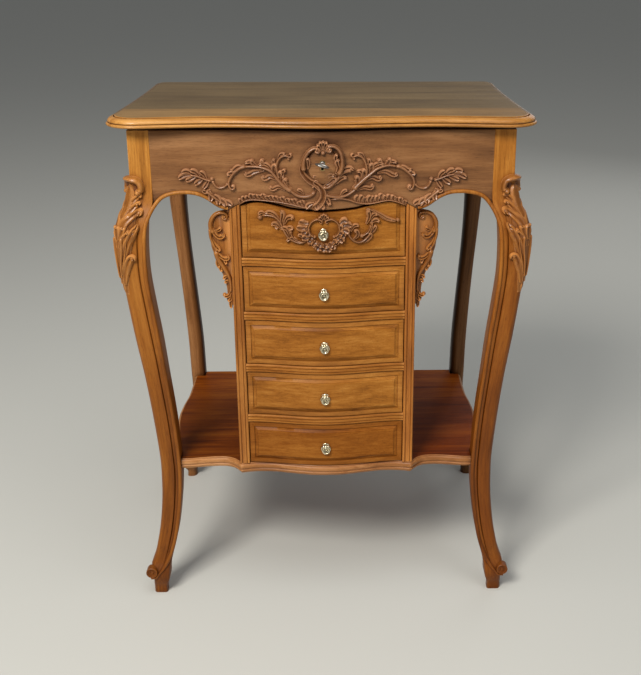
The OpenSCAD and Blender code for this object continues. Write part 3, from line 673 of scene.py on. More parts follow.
# The right knee and the right wing bracket are painted darker: painted shade.
knee_wood = wood("walnut_knees", *HONEY, "z", seed=0.8, grime_and_shade=0.9, wear_and_highlight=0.8, rough=0.36, coat=0.16,
                 tints_and_shade={"X": [(0.40, (0.47, 0.47, 0.47)), (0.60, (0.38, 0.35, 0.32))]})
side_wood = wood("walnut_side_aprons", *RUSSET, "y", seed=5.7)
# The flat of the top: its olive colour holds a painted reflection.
top_walnut_painted_reflection = wood("walnut_top", *OLIVE_PAINTED_REFLECTION, "x", seed=6.3, rough=0.5, wear_and_highlight=0.1, contrast=0.6, streak=0.6,
                tints_and_shade=TOP_TONES)
edge_wood = wood("walnut_top_edge", *GOLD, "x", seed=6.3, rough=0.36, coat=0.1, grime_and_shade=0.8,
                 tints_and_shade=EDGE_TINTS_AND_SHADE)
shelf_wood = wood("walnut_shelf", *DEEP, "x", seed=7.9, rough=0.45, wear_and_highlight=0.0, contrast=1.1, specular=0.1,
                  tints_and_shade=SHELF_TONES)
shelf_edge_wood = wood("walnut_shelf_edge", *AMBER, "x", seed=7.9, grime_and_shade=0.8,
                       tints_and_shade={"X": [(0.33, (0.60, 0.65, 0.70)), (0.40, (0.5, 0.5, 0.5))]})
front_wood = wood("walnut_drawer_fronts", *HONEY, "x", seed=9.2, wear_and_highlight=0.4, specular=0.1,
                  tints_and_shade=FRONT_TONES)
drawer_carving_wood = wood("walnut_drawer_carving", *TAWNY, "x", seed=9.2, grime_and_shade=0.9, wear_and_highlight=0.85,
                           rough=0.36, coat=0.14)
oak_along_x = wood("oak_crosswise", *OAK, "x", seed=11.0, coat=0.0, rough=0.6, wear_and_highlight=0.0)
oak_along_y = wood("oak_lengthwise", *OAK, "y", seed=12.0, coat=0.0, rough=0.6, wear_and_highlight=0.0)
aged_brass = metal("aged_brass", (0.62, 0.44, 0.18), (0.34, 0.22, 0.09), 0.38)
pale_brass = metal("pale_brass", (0.86, 0.80, 0.60), (0.56, 0.48, 0.30), 0.28, grime=0.8)
dull_steel = metal("dull_steel", (0.42, 0.41, 0.39), (0.20, 0.18, 0.16), 0.42)
screw_steel = metal("screw_steel", (0.50, 0.47, 0.42), (0.26, 0.22, 0.18), 0.40)

# ------------------------------------------------------------------ legs

LEG_ROWS = 130
# A front leg flares below this height, its front face less than its sides.
FLARE_TOP, FRONT_FLARE = 80, 0.6
# Place and width of the groove beside the bead, as shares of the front face.
GROOVE, GROOVE_WIDTH = 0.34, 0.035
FRONT_PLACES = (
    0.06, 0.14, 0.22, 0.27, 0.30, 0.32, 0.34, 0.36, 0.38, 0.41, 0.46, 0.55, 0.65, 0.75, 0.85, 0.94,
)
# The edges are sharp above ROUND_TOP and round once they are ROUND_FADE below it; the rear legs
# stay flush with the apron over REAR_BLOCK.
ROUND_TOP, ROUND_FADE, REAR_BLOCK = 634, 60, 125


def leg_front_y(z):
    """Front face of a front leg."""
    return FRAME_FRONT - (leg_outer(z) - POST_OUT) * np.where(z < FLARE_TOP, FRONT_FLARE, 1)


def leg_ring(x0, x1, y0, y1, radii, hollow):
    """Plan of a leg: round corners, and a front face that is slightly hollow beside its bead."""
    small, inner, front = radii
    left, right = x0 + inner, x1 - front
    u = np.array(FRONT_PLACES)
    dip = hollow * (np.exp(-(((u - GROOVE) / GROOVE_WIDTH) ** 2)) + 0.35 * np.sin(np.pi * u))
    return np.concatenate([
        arc(x0 + small, y1 - small, small, 90, 180, 5),
        arc(left, y0 + inner, inner, 180, 270, 9),
        np.stack([left + (right - left) * u, y0 + dip], -1),
        arc(right, y0 + front, front, 270, 360, 8),
        arc(x1 - small, y1 - small, small, 0, 90, 5),
    ])


def leg_shape(side, rear):
    """One leg, drawn on the right and mirrored to the left if side is -1."""
    rings, grain = [], []
    for z in np.linspace(0, FRAME_TOP, LEG_ROWS):
        table = REAR_LEG if rear else LEG
        outer, inner = float(leg_outer(z, table)), float(leg_inner(z, table))
        middle = (outer + inner) / 2
        if rear:
            half = (outer - inner) / 2
            y = REAR_MIDDLE + float(through(REAR_LEAN, z))
            y0, y1 = y - half, y + half
            if z > FRAME_TOP - REAR_BLOCK:
                y0 = max(y0, REAR_FRONT)
        else:
            if z < FLARE_TOP:
                outer = POST_OUT + float(through(TOELESS, z))
            y0 = float(leg_front_y(z))
            y1 = POST_BACK - (inner - POST_IN)
        below = min(1, max(0, (ROUND_TOP - z) / ROUND_FADE))
        radii = [0.9 + grown * below for grown in (2.6, 9 if rear else 2.6, (outer - inner) * 0.24)]
        hollow = 0 if rear else 2.4 * below * min(1, max(0, (z - 45) / 60))
        ring = leg_ring(inner, outer, y0, y1, radii, hollow)
        rings.append([(side * px, py, z) for px, py in ring])
        grain.append([(px - middle + 300 * rear + 90 * side, py - (y0 + y1) / 2, z) for px, py in ring])
    return Shape(rings, grain)


def tube(shape, centres, across, out, radii, sides):
    """A round bar along centres; across and out are the directions of its section."""
    a = turns(sides)
    ring = np.cos(a)[None, :, None] * across[:, None] + np.sin(a)[None, :, None] * out[:, None]
    radii = np.broadcast_to(np.asarray(radii, float), (len(centres),))
    shape.solid(centres[:, None] + ring * radii[:, None, None])


BEAD_R = 2.9
BEAD_OUT = BEAD_R * 0.75
TOE_X, TOE_Z, TOE_R = 278.0, 42.0, 8.8


def bead_path():
    """Line of the bead, from under the right toe up the leg and along the apron to the stile."""
    sweep = [(TOE_X + x, y, z) for x, y, z in (
        (2, -2.5, 31.2), (-6, -2.5, 31.8), (-13, -1.5, 35.5), (-19, 0.5, 42), (-23, 3, 50),
        (-25, 5.5, 59),
    )]
    up = [(float(leg_inner(z)) + BEAD_OUT, float(leg_front_y(z)), z) for z in np.linspace(68, 622, 87)]
    over = [(x, FRAME_FRONT, float(edge_z(x)) + BEAD_OUT)
            for x in np.linspace(POST_IN - 4, STILE_OUT + 1, 50)]
    points = np.array(sweep + up + over)
    kernel = np.array([1, 2, 3, 2, 1]) / 9
    for _ in range(3):
        inner = np.stack([np.convolve(points[:, k], kernel, "valid") for k in range(3)], -1)
        points = np.concatenate([points[:2], inner, points[-2:]])
    return points


def bead_shape(side):
    """The bead along the inner edge of a front leg and the apron."""
    path = bead_path()
    along = unit(np.gradient(path, axis=0))
    out = np.tile([0.0, -1.0, 0.0], (len(path), 1))
    across = unit(np.cross(along, out))
    taper = np.clip((np.arange(len(path)) + 4) / 8, 0.5, 1)
    shape = Shape()
    tube(shape, path * (side, 1, 1), across * (side, 1, 1), out, BEAD_R * taper, 12)
    return shape


def toe_shape(side):
    """The scroll at the toe: a roll whose rim winds in, seen from the front."""
    front = float(leg_front_y(36)) - 4.0
    back = front + 16
    profile = [
        (0.02, 0.9), (2.2, 0.4), (3.0, 1.5), (5.6, 1.3), (6.8, 0.2), (8.0, -0.2), (8.8, 0.5),
        (TOE_R, 1.8),
    ]
    places = [(r, front + deep) for r, deep in profile] + [(TOE_R, back - 3), (TOE_R - 2, back)]
    return Shape([[(side * (TOE_X + r * math.cos(a)), y, TOE_Z + r * math.sin(a)) for a in turns(28)]
                  for r, y in places])


for side, word in SIDES:
    for end, material in (("front", leg_wood), ("rear", rear_legs_painted_shade)):
        leg = leg_shape(side, end == "rear")
        leg.build(f"leg_{end}_{word}_shaped", material, "frame", "walnut", f"leg_{end}_{word}")
    bead_shape(side).build(f"bead_{word}", leg_wood, "frame", "walnut")
    toe_shape(side).build(f"toe_scroll_{word}", leg_wood, "frame", "walnut")

# ------------------------------------------------------------------ knees

KNEE_R = 9.0
KNEE_ARC = KNEE_R * math.pi / 4


def knee_surface(s, z):
    """Skin of the outer front corner of a right leg. s runs outwards round the corner from its
    middle, so it is negative on the front face."""
    outer, front = leg_outer(z), leg_front_y(z)
    turn = np.clip(s / KNEE_ARC, -1, 1) * math.pi / 4 + math.pi / 4
    x = outer - KNEE_R + KNEE_R * np.sin(turn) - np.maximum(-s - KNEE_ARC, 0)
    y = front + KNEE_R - KNEE_R * np.cos(turn) + np.maximum(s - KNEE_ARC, 0)
    return np.stack([x, y, z], -1), np.stack([np.sin(turn), -np.cos(turn), 0 * z], -1)


# The pad that the knee is carved from: height, its half-width and how far it stands out.
KNEE_PAD = [
    [505, 1, 0.3], [530, 5, 0.9], [560, 10, 1.8], [585, 14, 4.0], [600, 15, 5.6], [615, 14, 5.4],
    [635, 11, 4.2], [650, 9, 3], [662, 7, 0.8],
]


def padded_knee(s, z):
    """The knee's skin with the pad on it."""
    place, normal = knee_surface(s, z)
    half = through(KNEE_PAD, z, 1)
    high = through(KNEE_PAD, z, 2)
    dome = np.sqrt(np.clip(1 - (s / (half + 3)) ** 2, 0.02, 1))
    return place + normal * (high * dome)[..., None], normal


# Marks in the middle of a knee, and those on one side of it, which are mirrored to the other.
KNEE_MIDDLE = [
    # Bodies of the two leaves, one rising from the node and one hanging from it.
    (leaf, [0, 598, 0, 620, 0, 642, 0, 664], 5.6, 2.4, 0, 0.3, False),
    (band, [0, 606, 0, 585, 0, 560, 0, 535, 0, 510], 6.5, 1.0, 1.6, VEINED),
    (leaf, [0, 588, 0, 600, 0, 610], 2.8, 4.0),
    # Curl that closes the upper leaf.
    (band, [-11, 652, -14, 659, -11, 667, -4, 671, 4, 671, 11, 667, 14, 659, 11, 652], 3.9, 3.9, 6.0),
]
KNEE_SIDE = [
    (ball, [11, 653.5], 4.4, 7.0),
    (leaf, [2, 600, 4, 612, 9, 621, 15, 626, 19, 626, 20, 621], 5.0, 3.6),
    (leaf, [3, 618, 6, 629, 9.5, 635, 13, 638, 14.5, 635], 3.9, 3.2),
    (leaf, [3, 632, 6, 641, 9.5, 646, 13, 648, 14.5, 645], 3.4, 3.0),
    (leaf, [4, 556, 7, 572, 11, 586, 16, 598, 20, 606, 21, 611], 5.0, 3.6),
    (leaf, [2, 578, 5, 588, 8, 596, 11, 600, 12, 597], 3.4, 3.2),
    (leaf, [3, 524, 5, 540, 9, 554, 14, 563, 18, 563, 19.5, 558], 4.8, 3.4),
    (leaf, [2, 590, 4, 600, 5, 609], 2.6, 3.4),
    (leaf, [6, 588, 9, 598, 10.5, 605], 2.3, 3.0),
    (band, [8, 594, 8.5, 580, 6, 560, 2.5, 535], 1.5, 0.8, 3.0),
    (band, [4, 596, 4.5, 578, 3, 556, 1, 530], 1.3, 0.8, 3.4),
]


def knee_shape(side):
    """The pad of a knee and the carving on it."""
    def skin(s, z):
        place, normal = padded_knee(s, z)
        return place * (side, 1, 1), normal * (side, 1, 1)

    rows = np.linspace(508, 666, 46)
    u = np.linspace(-1, 1, 19)
    s = u[None] * (through(KNEE_PAD, rows, 1)[:, None] + 3)
    z = np.broadcast_to(rows[:, None], s.shape)
    place, normal = padded_knee(s, z)
    under, down = knee_surface(s[:, ::-1], z)
    pad = np.concatenate([place, under - down * 1.5], 1)
    shape = Shape(pad * (side, 1, 1))
    carve(shape, skin, KNEE_MIDDLE)
    for half, _ in SIDES:
        carve(shape, skin, KNEE_SIDE, half)
    return shape


for side, word in SIDES:
    knee_shape(side).build(f"knee_carving_{word}", knee_wood, "frame", "walnut")

# ------------------------------------------------------------------ top

FRONT_CORNER, BACK_CORNER, SIDE_TAPER, WAVE_LEN = 30.0, 9.0, 14.0, 290.0
BACK_SHARE = 13 / 14


def top_front_y(x):
    """Front edge of the flat of the top: a shallow wave from its middle to WAVE_LEN."""
    return TOP_WAVE * (1 - np.cos(2 * np.pi * np.minimum(x, WAVE_LEN) / WAVE_LEN)) / 2


def top_outline(g, back):
    """Closed outline of the top, grown outwards by g at the front and sides, and behind by
    BACK_SHARE of back."""
    corner_x = TOP_HALF - FRONT_CORNER
    corner_y = float(top_front_y(corner_x)) + FRONT_CORNER
    back_x = TOP_HALF - SIDE_TAPER + g - BACK_CORNER
    back_y = TOP_DEPTH + back * BACK_SHARE
    x = np.linspace(0, corner_x, 70)
    y = np.linspace(corner_y, TOP_DEPTH - BACK_CORNER, 24)
    side_x = TOP_HALF - SIDE_TAPER * np.sin(np.pi / 2 * (y - corner_y) / (y[-1] - corner_y)) + g
    half = np.concatenate([
        np.stack([x, top_front_y(x) - g], -1),
        arc(corner_x, corner_y, FRONT_CORNER + g, -85, -5, 17),
        np.stack([side_x, y], -1),
        arc(back_x, back_y - BACK_CORNER, BACK_CORNER, 12, 78, 7),
        [[back_x, back_y], [back_x / 2, back_y], [0, back_y]],
    ])
    return symmetric(half)


# The moulded edge from the underside up: how far it stands out, and its height over the
# underside. It has a neck that is set back, then a bead, a groove, a quarter round and a quirk.
TOP_T = TABLE_TOP - LID_UNDER
NECK_BACK, NECK_TOP = 13.0, 5.4
TOP_EDGE = [(2.0, 0), (2.1, 5.2), (2.6, 5.5), (10.8, 5.5)]
TOP_EDGE += [tuple(p) for p in arc(11.7, 7.8, 2.3, -75, 80, 11)]
TOP_EDGE += [(10.7, 10.2), (10.5, 10.9), (11.6, 11.2)]
ROUND_ANGLES = np.radians([88, 78, 67, 56, 45, 34, 23, 13, 6])
TOP_EDGE += [(2.6 + 9.2 * math.sin(a), 11.3 + 6.2 * math.cos(a)) for a in ROUND_ANGLES]
TOP_EDGE += [(3.1, 15.4), (2.2, 15.4), (1.9, 18.4), (1.2, 18.75), (0.3, TOP_T)]

lid = Shape([[(x, y, LID_UNDER + up) for x, y in top_outline(-NECK_BACK if up < NECK_TOP else g, g)]
             for g, up in TOP_EDGE])
HINGE_X, HINGE_HALF, LEAF_FRONT, LEAF_T = 150.0, 25.0, 344.0, 1.5
lid_cuts = []
for side, _ in SIDES:
    left = side * HINGE_X - HINGE_HALF
    lid_cuts.append(block((left, LEAF_FRONT, LID_UNDER - 1),
                          (left + 2 * HINGE_HALF, 400, LID_UNDER + LEAF_T)))
link_low, link_high = local_box("link_plate")
lid_cuts.append(block((*link_low[:2], LID_UNDER - 1), link_high))
lid.build("top_moulded", edge_wood, "lid", "top_walnut", "lid_board", cutters=lid_cuts,
          flat_material=top_walnut_painted_reflection)

# ------------------------------------------------------------------ shelf

notch_in = float(leg_inner(SHELF_TOP)) - 0.7
front_notch = POST_BACK - (float(leg_inner(SHELF_TOP)) - POST_IN) + 0.7
rear_half = float(leg_outer(SHELF_TOP) - leg_inner(SHELF_TOP)) / 2
rear_notch = REAR_MIDDLE + float(through(REAR_LEAN, SHELF_TOP)) - rear_half - 0.6
SHELF_BACK = REAR_FRONT + 42
FRONT_STEPS, SIDE_STEPS = 110, 40


def shelf_half():
    """Right half of the shelf's outline: the front, the notch, the side, the notch and the back."""
    x = np.linspace(0, notch_in, FRONT_STEPS)
    y = np.linspace(front_notch, rear_notch, SIDE_STEPS)
    places = np.linspace(SHELF_SIDE[0][0], SHELF_SIDE[-1][0], SIDE_STEPS)
    return np.concatenate([
        np.stack([x, through(SHELF_FRONT, x * SHELF_FRONT[-1][0] / notch_in)], -1),
        [[notch_in, front_notch]],
        np.stack([through(SHELF_SIDE, places), y], -1),
        [[notch_in, rear_notch], [notch_in, SHELF_BACK], [0, SHELF_BACK]],
    ])


def shelf_ring(d):
    """The shelf's outline with its moulded edges moved in by d; the notches and the back stay."""
    half = shelf_half()
    moved = inset(symmetric(half), d)[:len(half)]
    moved[0, 0] = 0
    notch, last = FRONT_STEPS, FRONT_STEPS + SIDE_STEPS
    moved[notch - 1] = half[notch - 1] + (0, d)
    moved[notch] = half[notch]
    moved[notch + 1] = half[notch + 1] - (d, 0)
    moved[last] = half[last] - (d, 0)
    moved[last + 1:] = half[last + 1:]
    return symmetric(moved)


def inset(outline, d):
    """The closed outline moved inwards by d, square to its sides."""
    ahead = unit(np.roll(outline, -1, 0) - outline)
    normal = np.stack([-ahead[:, 1], ahead[:, 0]], -1)
    before = np.roll(normal, 1, 0)
    mitre = normal + before
    mitre /= np.maximum(0.5, 1 + (normal * before).sum(1))[:, None]
    return outline + mitre * d


SHELF_EDGE = [
    (3.6, 0), (2.6, 0.2), (1.9, 1.2), (1.6, 2.4), (1.1, 2.8), (0.6, 3.6), (0.5, 4.6), (0.9, 5.4),
    (1.5, 5.9), (1.3, 6.5), (0.6, 7.3), (0.1, 8.8), (0.0, 10.5), (0.35, 12.2), (1.0, 13.6),
    (2.0, 14.5), (2.7, 14.6), (2.9, 15.3), (3.4, 15.9), (4.2, 16),
]
shelf = Shape([[(x, y, SHELF_UNDER + up) for x, y in shelf_ring(d)] for d, up in SHELF_EDGE])
shelf.build("shelf_moulded", shelf_edge_wood, "frame", "shelf_walnut", "shelf", flat_material=shelf_wood)

# ------------------------------------------------------------------ front apron

LOCK_LOW, LOCK_HIGH = local_box("lock_case")


def keyhole_outline(grow):
    """A round hole with a slot below it, grown by a clearance."""
    r, half, drop = 3.6 + grow, 1.7 + grow, 9 + grow
    a = math.degrees(math.asin(half / r))
    return [*arc(0, 0, r, -90 + a, 270 - a, 26), (-half, -drop), (half, -drop)]


keyhole_cut = Shape([[(x, y, KEYHOLE_Z + z) for x, z in keyhole_outline(0.95)] for y in (-9, 34)])
mortise_cut = block(LOCK_LOW, (LOCK_HIGH[0], APRON_BACK + 30, FRAME_TOP + 20))

stops = (-POST_IN, -STILE_OUT, STILE_OUT, POST_IN)
runs = [np.linspace(a, b, n) for a, b, n in zip(stops, stops[1:], (46, 90, 46))]
rings = []
for x in np.unique(np.concatenate(runs)):
    y, low = float(bow_y(x)), float(edge_z(x))
    front = [(y + 1.3, low), (y + 0.4, low + 0.4), (y, low + 1.3)]
    front += [(y, z) for z in np.linspace(low + 6, FRAME_TOP - 1, 14)]
    front += [(y + 0.4, FRAME_TOP - 0.2), (y + 1.0, FRAME_TOP)]
    rings.append([(x, yy, zz) for yy, zz in front + [(APRON_BACK, FRAME_TOP), (APRON_BACK, low)]])
Shape(rings).build("apron_front_shaped", apron_wood, "frame", "apron_walnut", "apron_front",
                   cutters=[keyhole_cut, mortise_cut])

BOSS_RX, BOSS_RZ, BOSS_Z = 21.0, 27.0, KEYHOLE_Z - 3
# Rings of the field: their size as a share of the outline, and y, over the bowed front if positive.
BOSS_RINGS = [
    (1.02, 1.5), (1.0, -0.6), (0.985, -2.6), (0.95, -4.2), (0.9, -4.9), (0.8, BOSS_FRONT),
    (0.3, BOSS_FRONT),
]
boss_rings = []
for size, front in BOSS_RINGS:
    t = turns(48)
    x, z = BOSS_RX * size * np.cos(t), BOSS_RZ * size * np.sin(t)
    y = np.full_like(x, front) if front < 0 else bow_y(x) + front
    boss_rings.append(np.stack([x, y, BOSS_Z + z], -1))
Shape(boss_rings).build("cartouche_field", apron_wood, "frame", "apron_walnut", cutters=[keyhole_cut])

# ------------------------------------------------------------------ carving of the apron

CARTOUCHE_SHELL = [
    (leaf, ray(1, 711, angle, 3, reach * 0.6, reach), 2.5, 4.0, 0, 0.35)
    for angle, reach in ((150, 11), (128, 13), (106, 15), (88, 16), (70, 15), (48, 13), (26, 11))
]
FIELD_MARKS = [
    # Frame of the cartouche: two C scrolls whose ends wind in, with a shell at the head.
    (band, wound([-25, 684, -26, 692, -24.5, 702, -19, 711, -12, 716, -7, 716], 3.2, 1.1, -1),
     3.2, 1.8, 3.8),
    (band, wound([21, 678, 26, 689, 27, 700, 24.5, 711, 18, 718, 11, 719, 8, 717], 3.2, 1.1, 1),
     3.2, 1.8, 3.8),
    (ball, [-7, 711], 2.0, 4.6),
    (ball, [9, 713], 2.0, 4.6),
    *CARTOUCHE_SHELL,
    (ball, [1, 710], 3.0, 4.8),
    (leaf, [18, 681, 22, 689, 20, 697, 23, 702], 3.0, 3.4, 2),
    (leaf, [21, 694, 18, 702, 20, 709], 2.4, 3.4),
    (leaf, [-20, 688, -19, 697, -21, 704], 2.4, 3.0),
    # The thin seam across the field, level with the keyhole.
    (band, [-18, 694.5, -10, 695, -5.4, 695], 0.35, 0.35, 0.6),
    (band, [5.4, 695, 12, 695, 19, 694], 0.35, 0.35, 0.6),
]
APRON_MARKS = [
    # Stem that crosses under the cartouche, with a sheath of leaves at its foot.
    (band, [-28.5, 694, -27, 682, -19, 672, -8, 665, -0.5, 657, 0.5, 648, -5, 638, -15, 631],
     2.8, 4.6, 3.6, CHANNEL),
    (band, wound([-4, 656, -6, 662, -11, 666], 3.6, 1.0, -1), 2.0, 1.2, 3.2),
    (ball, [-13, 662.5], 2.0, 4.2),
    (leaf, [2, 664, 9, 668, 15, 673, 21, 672], 3.2, 3.2, 2),
    (leaf, [0, 668, 4, 674, 11, 679, 17, 678], 2.8, 3.2),
    (leaf, [-3, 671, -8, 676, -14, 678], 2.4, 3.0),
    (leaf, [-2, 652, 6, 645, 10, 636], 3.0, 3.4),
    (leaf, [-5, 646, -2, 638, 2, 631], 3.0, 3.4),
    (leaf, [-9, 642, -9, 636, -7, 631], 3.0, 3.4),
    (leaf, [-12, 640, -19, 637, -24, 632], 3.0, 3.4),
    (band, [-9, 657, -18, 650, -29, 648.5, -39, 652.5, -49, 662.5, -53.5, 672, -54, 680], 2.6, 1.8, 3.0),
    (leaf, [-54, 676, -54.5, 682, -50.5, 686], 2.4, 3.4),
    (leaf, [-26, 652, -30, 657, -35, 659], 2.0, 3.0),
    (spray, [-40, 654, -52, 662, -61.5, 672, -71, 683, -84, 688, -98, 689, -110, 688],
     3.4, 3.6, 5, 13, -1),
    (band, wound([-104, 689, -112, 687, -119.5, 682.5, -127, 674, -130.5, 665, -129, 659], 3.6, 1.1, 1),
     2.6, 1.6, 3.4),
    (ball, [-125.5, 661], 2.0, 4.2),
    (leaf, [-52, 657, -61, 661, -69, 658, -74, 662], 2.6, 3.5),
    (leaf, [-61, 670, -72, 675, -80, 672, -84, 677], 2.9, 3.5),
    (leaf, [-80, 684, -94, 681, -104, 677, -108, 681], 3.0, 3.5),
    (leaf, [-108, 688, -117, 688, -124, 683, -128, 684], 2.7, 3.5),
    (leaf, [-120, 681, -127, 679, -133, 677], 2.5, 3.5),
    (leaf, [-68, 680, -74, 690, -83, 693, -88, 690], 2.4, 3.5),
    (leaf, [-90, 689, -98, 695, -107, 694], 2.3, 3.5),
    (band, wound([-59, 671, -62, 682, -62.5, 692, -58, 701, -51, 705, -45, 703.5], 2.6, 0.9, 1),
     2.2, 1.3, 3.2),
    (leaf, [-62, 686, -67, 694, -66, 701], 2.2, 3.0),
    (leaf, [-61, 698, -57, 706, -50, 708], 2.0, 3.0),
    (ball, [-46, 700.5], 1.9, 3.8),
    (band, [-130, 666, -137.5, 660, -145, 659, -150, 663, -153.5, 670], 1.6, 1.9, 2.6),
    (ball, [-153.5, 671], 2.6, 3.6),
    (band, [-2, 662, 8, 662, 19, 672, 28, 682, 41, 685], 2.2, 2.6, 3.2),
    (leaf, [12, 668, 18, 676, 28, 686, 38, 688, 44, 685], 3.2, 3.4, 3),
    (leaf, [9, 664, 19, 669, 27, 675, 34, 675], 2.8, 3.2, 2),
    (band, [0, 652, 12, 649, 24, 648, 36, 652, 47, 661, 53, 671], 2.4, 1.8, 3.0),
    (leaf, [49, 668, 55, 676, 52, 683, 46, 683], 2.4, 3.4),
    (leaf, [24, 650, 29, 656, 34, 658], 2.0, 3.0),
    (spray, [40, 656, 54, 669.5, 64, 678, 75, 686, 90, 690, 104, 688], 3.4, 3.6, 5, 13, 1),
    (band, wound([99, 689, 108, 687, 117, 681, 124.5, 673, 127, 665, 125, 658], 3.6, 1.1, -1),
     2.6, 1.6, 3.4),
    (ball, [121.5, 659], 2.0, 4.2),
    (leaf, [47, 657, 57, 660, 66, 659, 70, 665], 2.6, 3.5),
    (leaf, [58, 670, 68, 674, 77, 671, 81, 676], 2.9, 3.5),
    (leaf, [75, 680, 87, 681, 99, 676, 104, 679], 3.0, 3.5),
    (leaf, [102, 687, 111, 687, 119, 683, 124, 684], 2.7, 3.5),
    (leaf, [114, 681, 122, 679, 129, 677], 2.5, 3.5),
    (leaf, [64, 679, 70, 689, 79, 693, 85, 690], 2.4, 3.5),
    (leaf, [86, 689, 94, 695, 103, 694], 2.3, 3.5),
    (band, wound([57, 669, 60, 680, 59.5, 691, 55, 701, 48, 705, 42, 703.5], 2.6, 0.9, -1),
     2.2, 1.3, 3.2),
    (leaf, [59, 686, 64, 694, 63, 701], 2.2, 3.0),
    (leaf, [58, 698, 54, 706, 47, 708], 2.0, 3.0),
    (ball, [43, 700.5], 1.9, 3.8),
    (band, [126, 665, 133, 659, 141, 657, 147, 661, 151, 669], 1.6, 1.9, 2.6),
    (ball, [151, 670], 2.6, 3.6),
    # Ruffled edge of the shell between the carving and the drawer.
    (fringe, [-117, 636, -94, 643.5, -62, 641.5, -45, 639, -20, 633.5],
     [-114, 643, -106, 649, -94, 651, -66, 649, -49, 647, -24, 643], 17, 3.2, -0.02),
    (band, [-117, 634.5, -108, 640.5, -94, 642, -62, 640, -45, 637.5, -19, 632], 1.2, 1.3, 2.6),
    (fringe, [44, 640, 64, 637, 77, 639, 91, 641, 105, 638, 118, 633],
     [46, 651, 64, 648, 81, 650, 99, 648, 116, 641], 13, 3.2, 0.02),
    (band, [9, 644, 22, 646, 36, 643.5, 48, 639, 64, 637, 91, 640.5, 105, 637.5, 118, 632],
     1.5, 1.1, 2.8),
]
# The right end of the carving, which is mirrored to the left.
END_MARKS = [
    # Spray of leaves over the arch.
    (band, [154, 668, 163, 671, 173, 675, 184, 677], 1.8, 1.4, 3.2),
    (sprig, [158, 669, 162, 663, 166, 658], 2.8, 3.6),
    (sprig, [166, 672, 172, 667, 178, 664], 3.2, 3.6),
    (sprig, [175, 675, 183, 671, 190, 669], 3.2, 3.6),
    (sprig, [182, 677, 191, 676, 200, 672], 3.4, 3.6),
    (sprig, [161, 671, 165, 678, 170, 682], 2.8, 3.6),
    (sprig, [170, 675, 176, 681, 183, 684], 3.0, 3.6),
    (sprig, [180, 678, 187, 682, 195, 681], 2.8, 3.6),
    # Tuft of leaves on the corner over the stile.
    (sprig, [158, 652, 156, 646, 157, 640], 3.6, 3.8),
    (sprig, [152, 648, 146, 642, 146, 635], 4.0, 3.8),
    (sprig, [146, 643, 139, 639, 135, 633], 3.8, 3.8),
    (sprig, [141, 640, 132, 638, 126, 634], 3.0, 3.8),
    (sprig, [156, 655, 163, 653, 167, 656], 2.8, 3.8),
    (band, [164, 655, 156, 649, 146, 641, 135, 635, 127, 634], 2.4, 1.6, 3.0),
]
apron_carving = Shape()
carve(apron_carving, flat_surface(BOSS_FRONT + 0.4), FIELD_MARKS)
carve(apron_carving, front_surface, APRON_MARKS)
for side, _ in SIDES:
    carve(apron_carving, front_surface, END_MARKS, side)
apron_carving.build("apron_carving", carved_wood, "frame", "apron_walnut")

# ------------------------------------------------------------------ cabinet front

RAIL_BACK = 46
# Up a rail: height, and how far it stands out.
RAIL_PROFILE = [
    (0, -1.2), (0.3, -0.5), (1.0, -0.1), (2.0, 0), (3.0, -0.2), (3.5, -1.0), (3.9, -0.9), (4.3, -0.2),
    (6.0, -0.05), (7.7, -0.2), (8.1, -0.9), (8.5, -1.0), (9.0, -0.2), (10.0, 0), (11.0, -0.1),
    (11.7, -0.5), (12, -1.2),
]
for n in range(1, 5):
    z0 = opening_z(n) - RAIL_T
    rings = []
    for x in np.linspace(-OPENING_HALF, OPENING_HALF, 61):
        y = float(bow_y(x))
        ring = [(x, y - out, z0 + up) for up, out in RAIL_PROFILE]
        rings.append(ring + [(x, RAIL_BACK, z0 + RAIL_T), (x, RAIL_BACK, z0)])
    Shape(rings).build(f"rail_moulded_{n}", rail_wood, "frame", "walnut", f"drawer_rail_{n}")

STILE_BACK = 34
# Across the stile: distance out from the opening, and how far back of the frame's front.
STILE_PROFILE = [
    (0, 0.9), (0.3, 0.3), (1.1, -0.3), (2.1, -0.5), (3.1, -0.3), (3.8, 0.3), (4.2, 1.0), (4.6, 0.9),
    (5.0, 0.1), (8.0, 0), (10.6, 0.1), (11.0, 0.9), (11.4, 0.9), (11.9, 0.1), (13.2, -0.1),
    (14.4, 0.3), (15, 1.1),
]
STILE_PLAN = [(OPENING_HALF + across, FRAME_FRONT + back) for across, back in STILE_PROFILE]
STILE_PLAN += [(STILE_OUT, STILE_BACK), (OPENING_HALF, STILE_BACK)]
for side, word in SIDES:
    rings = [[(side * x, y, SHELF_TOP + (float(edge_z(x)) - 0.3 - SHELF_TOP) * u) for x, y in STILE_PLAN]
             for u in np.linspace(0, 1, 14)]
    Shape(rings).build(f"stile_moulded_{word}", stile_wood, "frame", "walnut", f"stile_{word}")

# ------------------------------------------------------------------ wing brackets

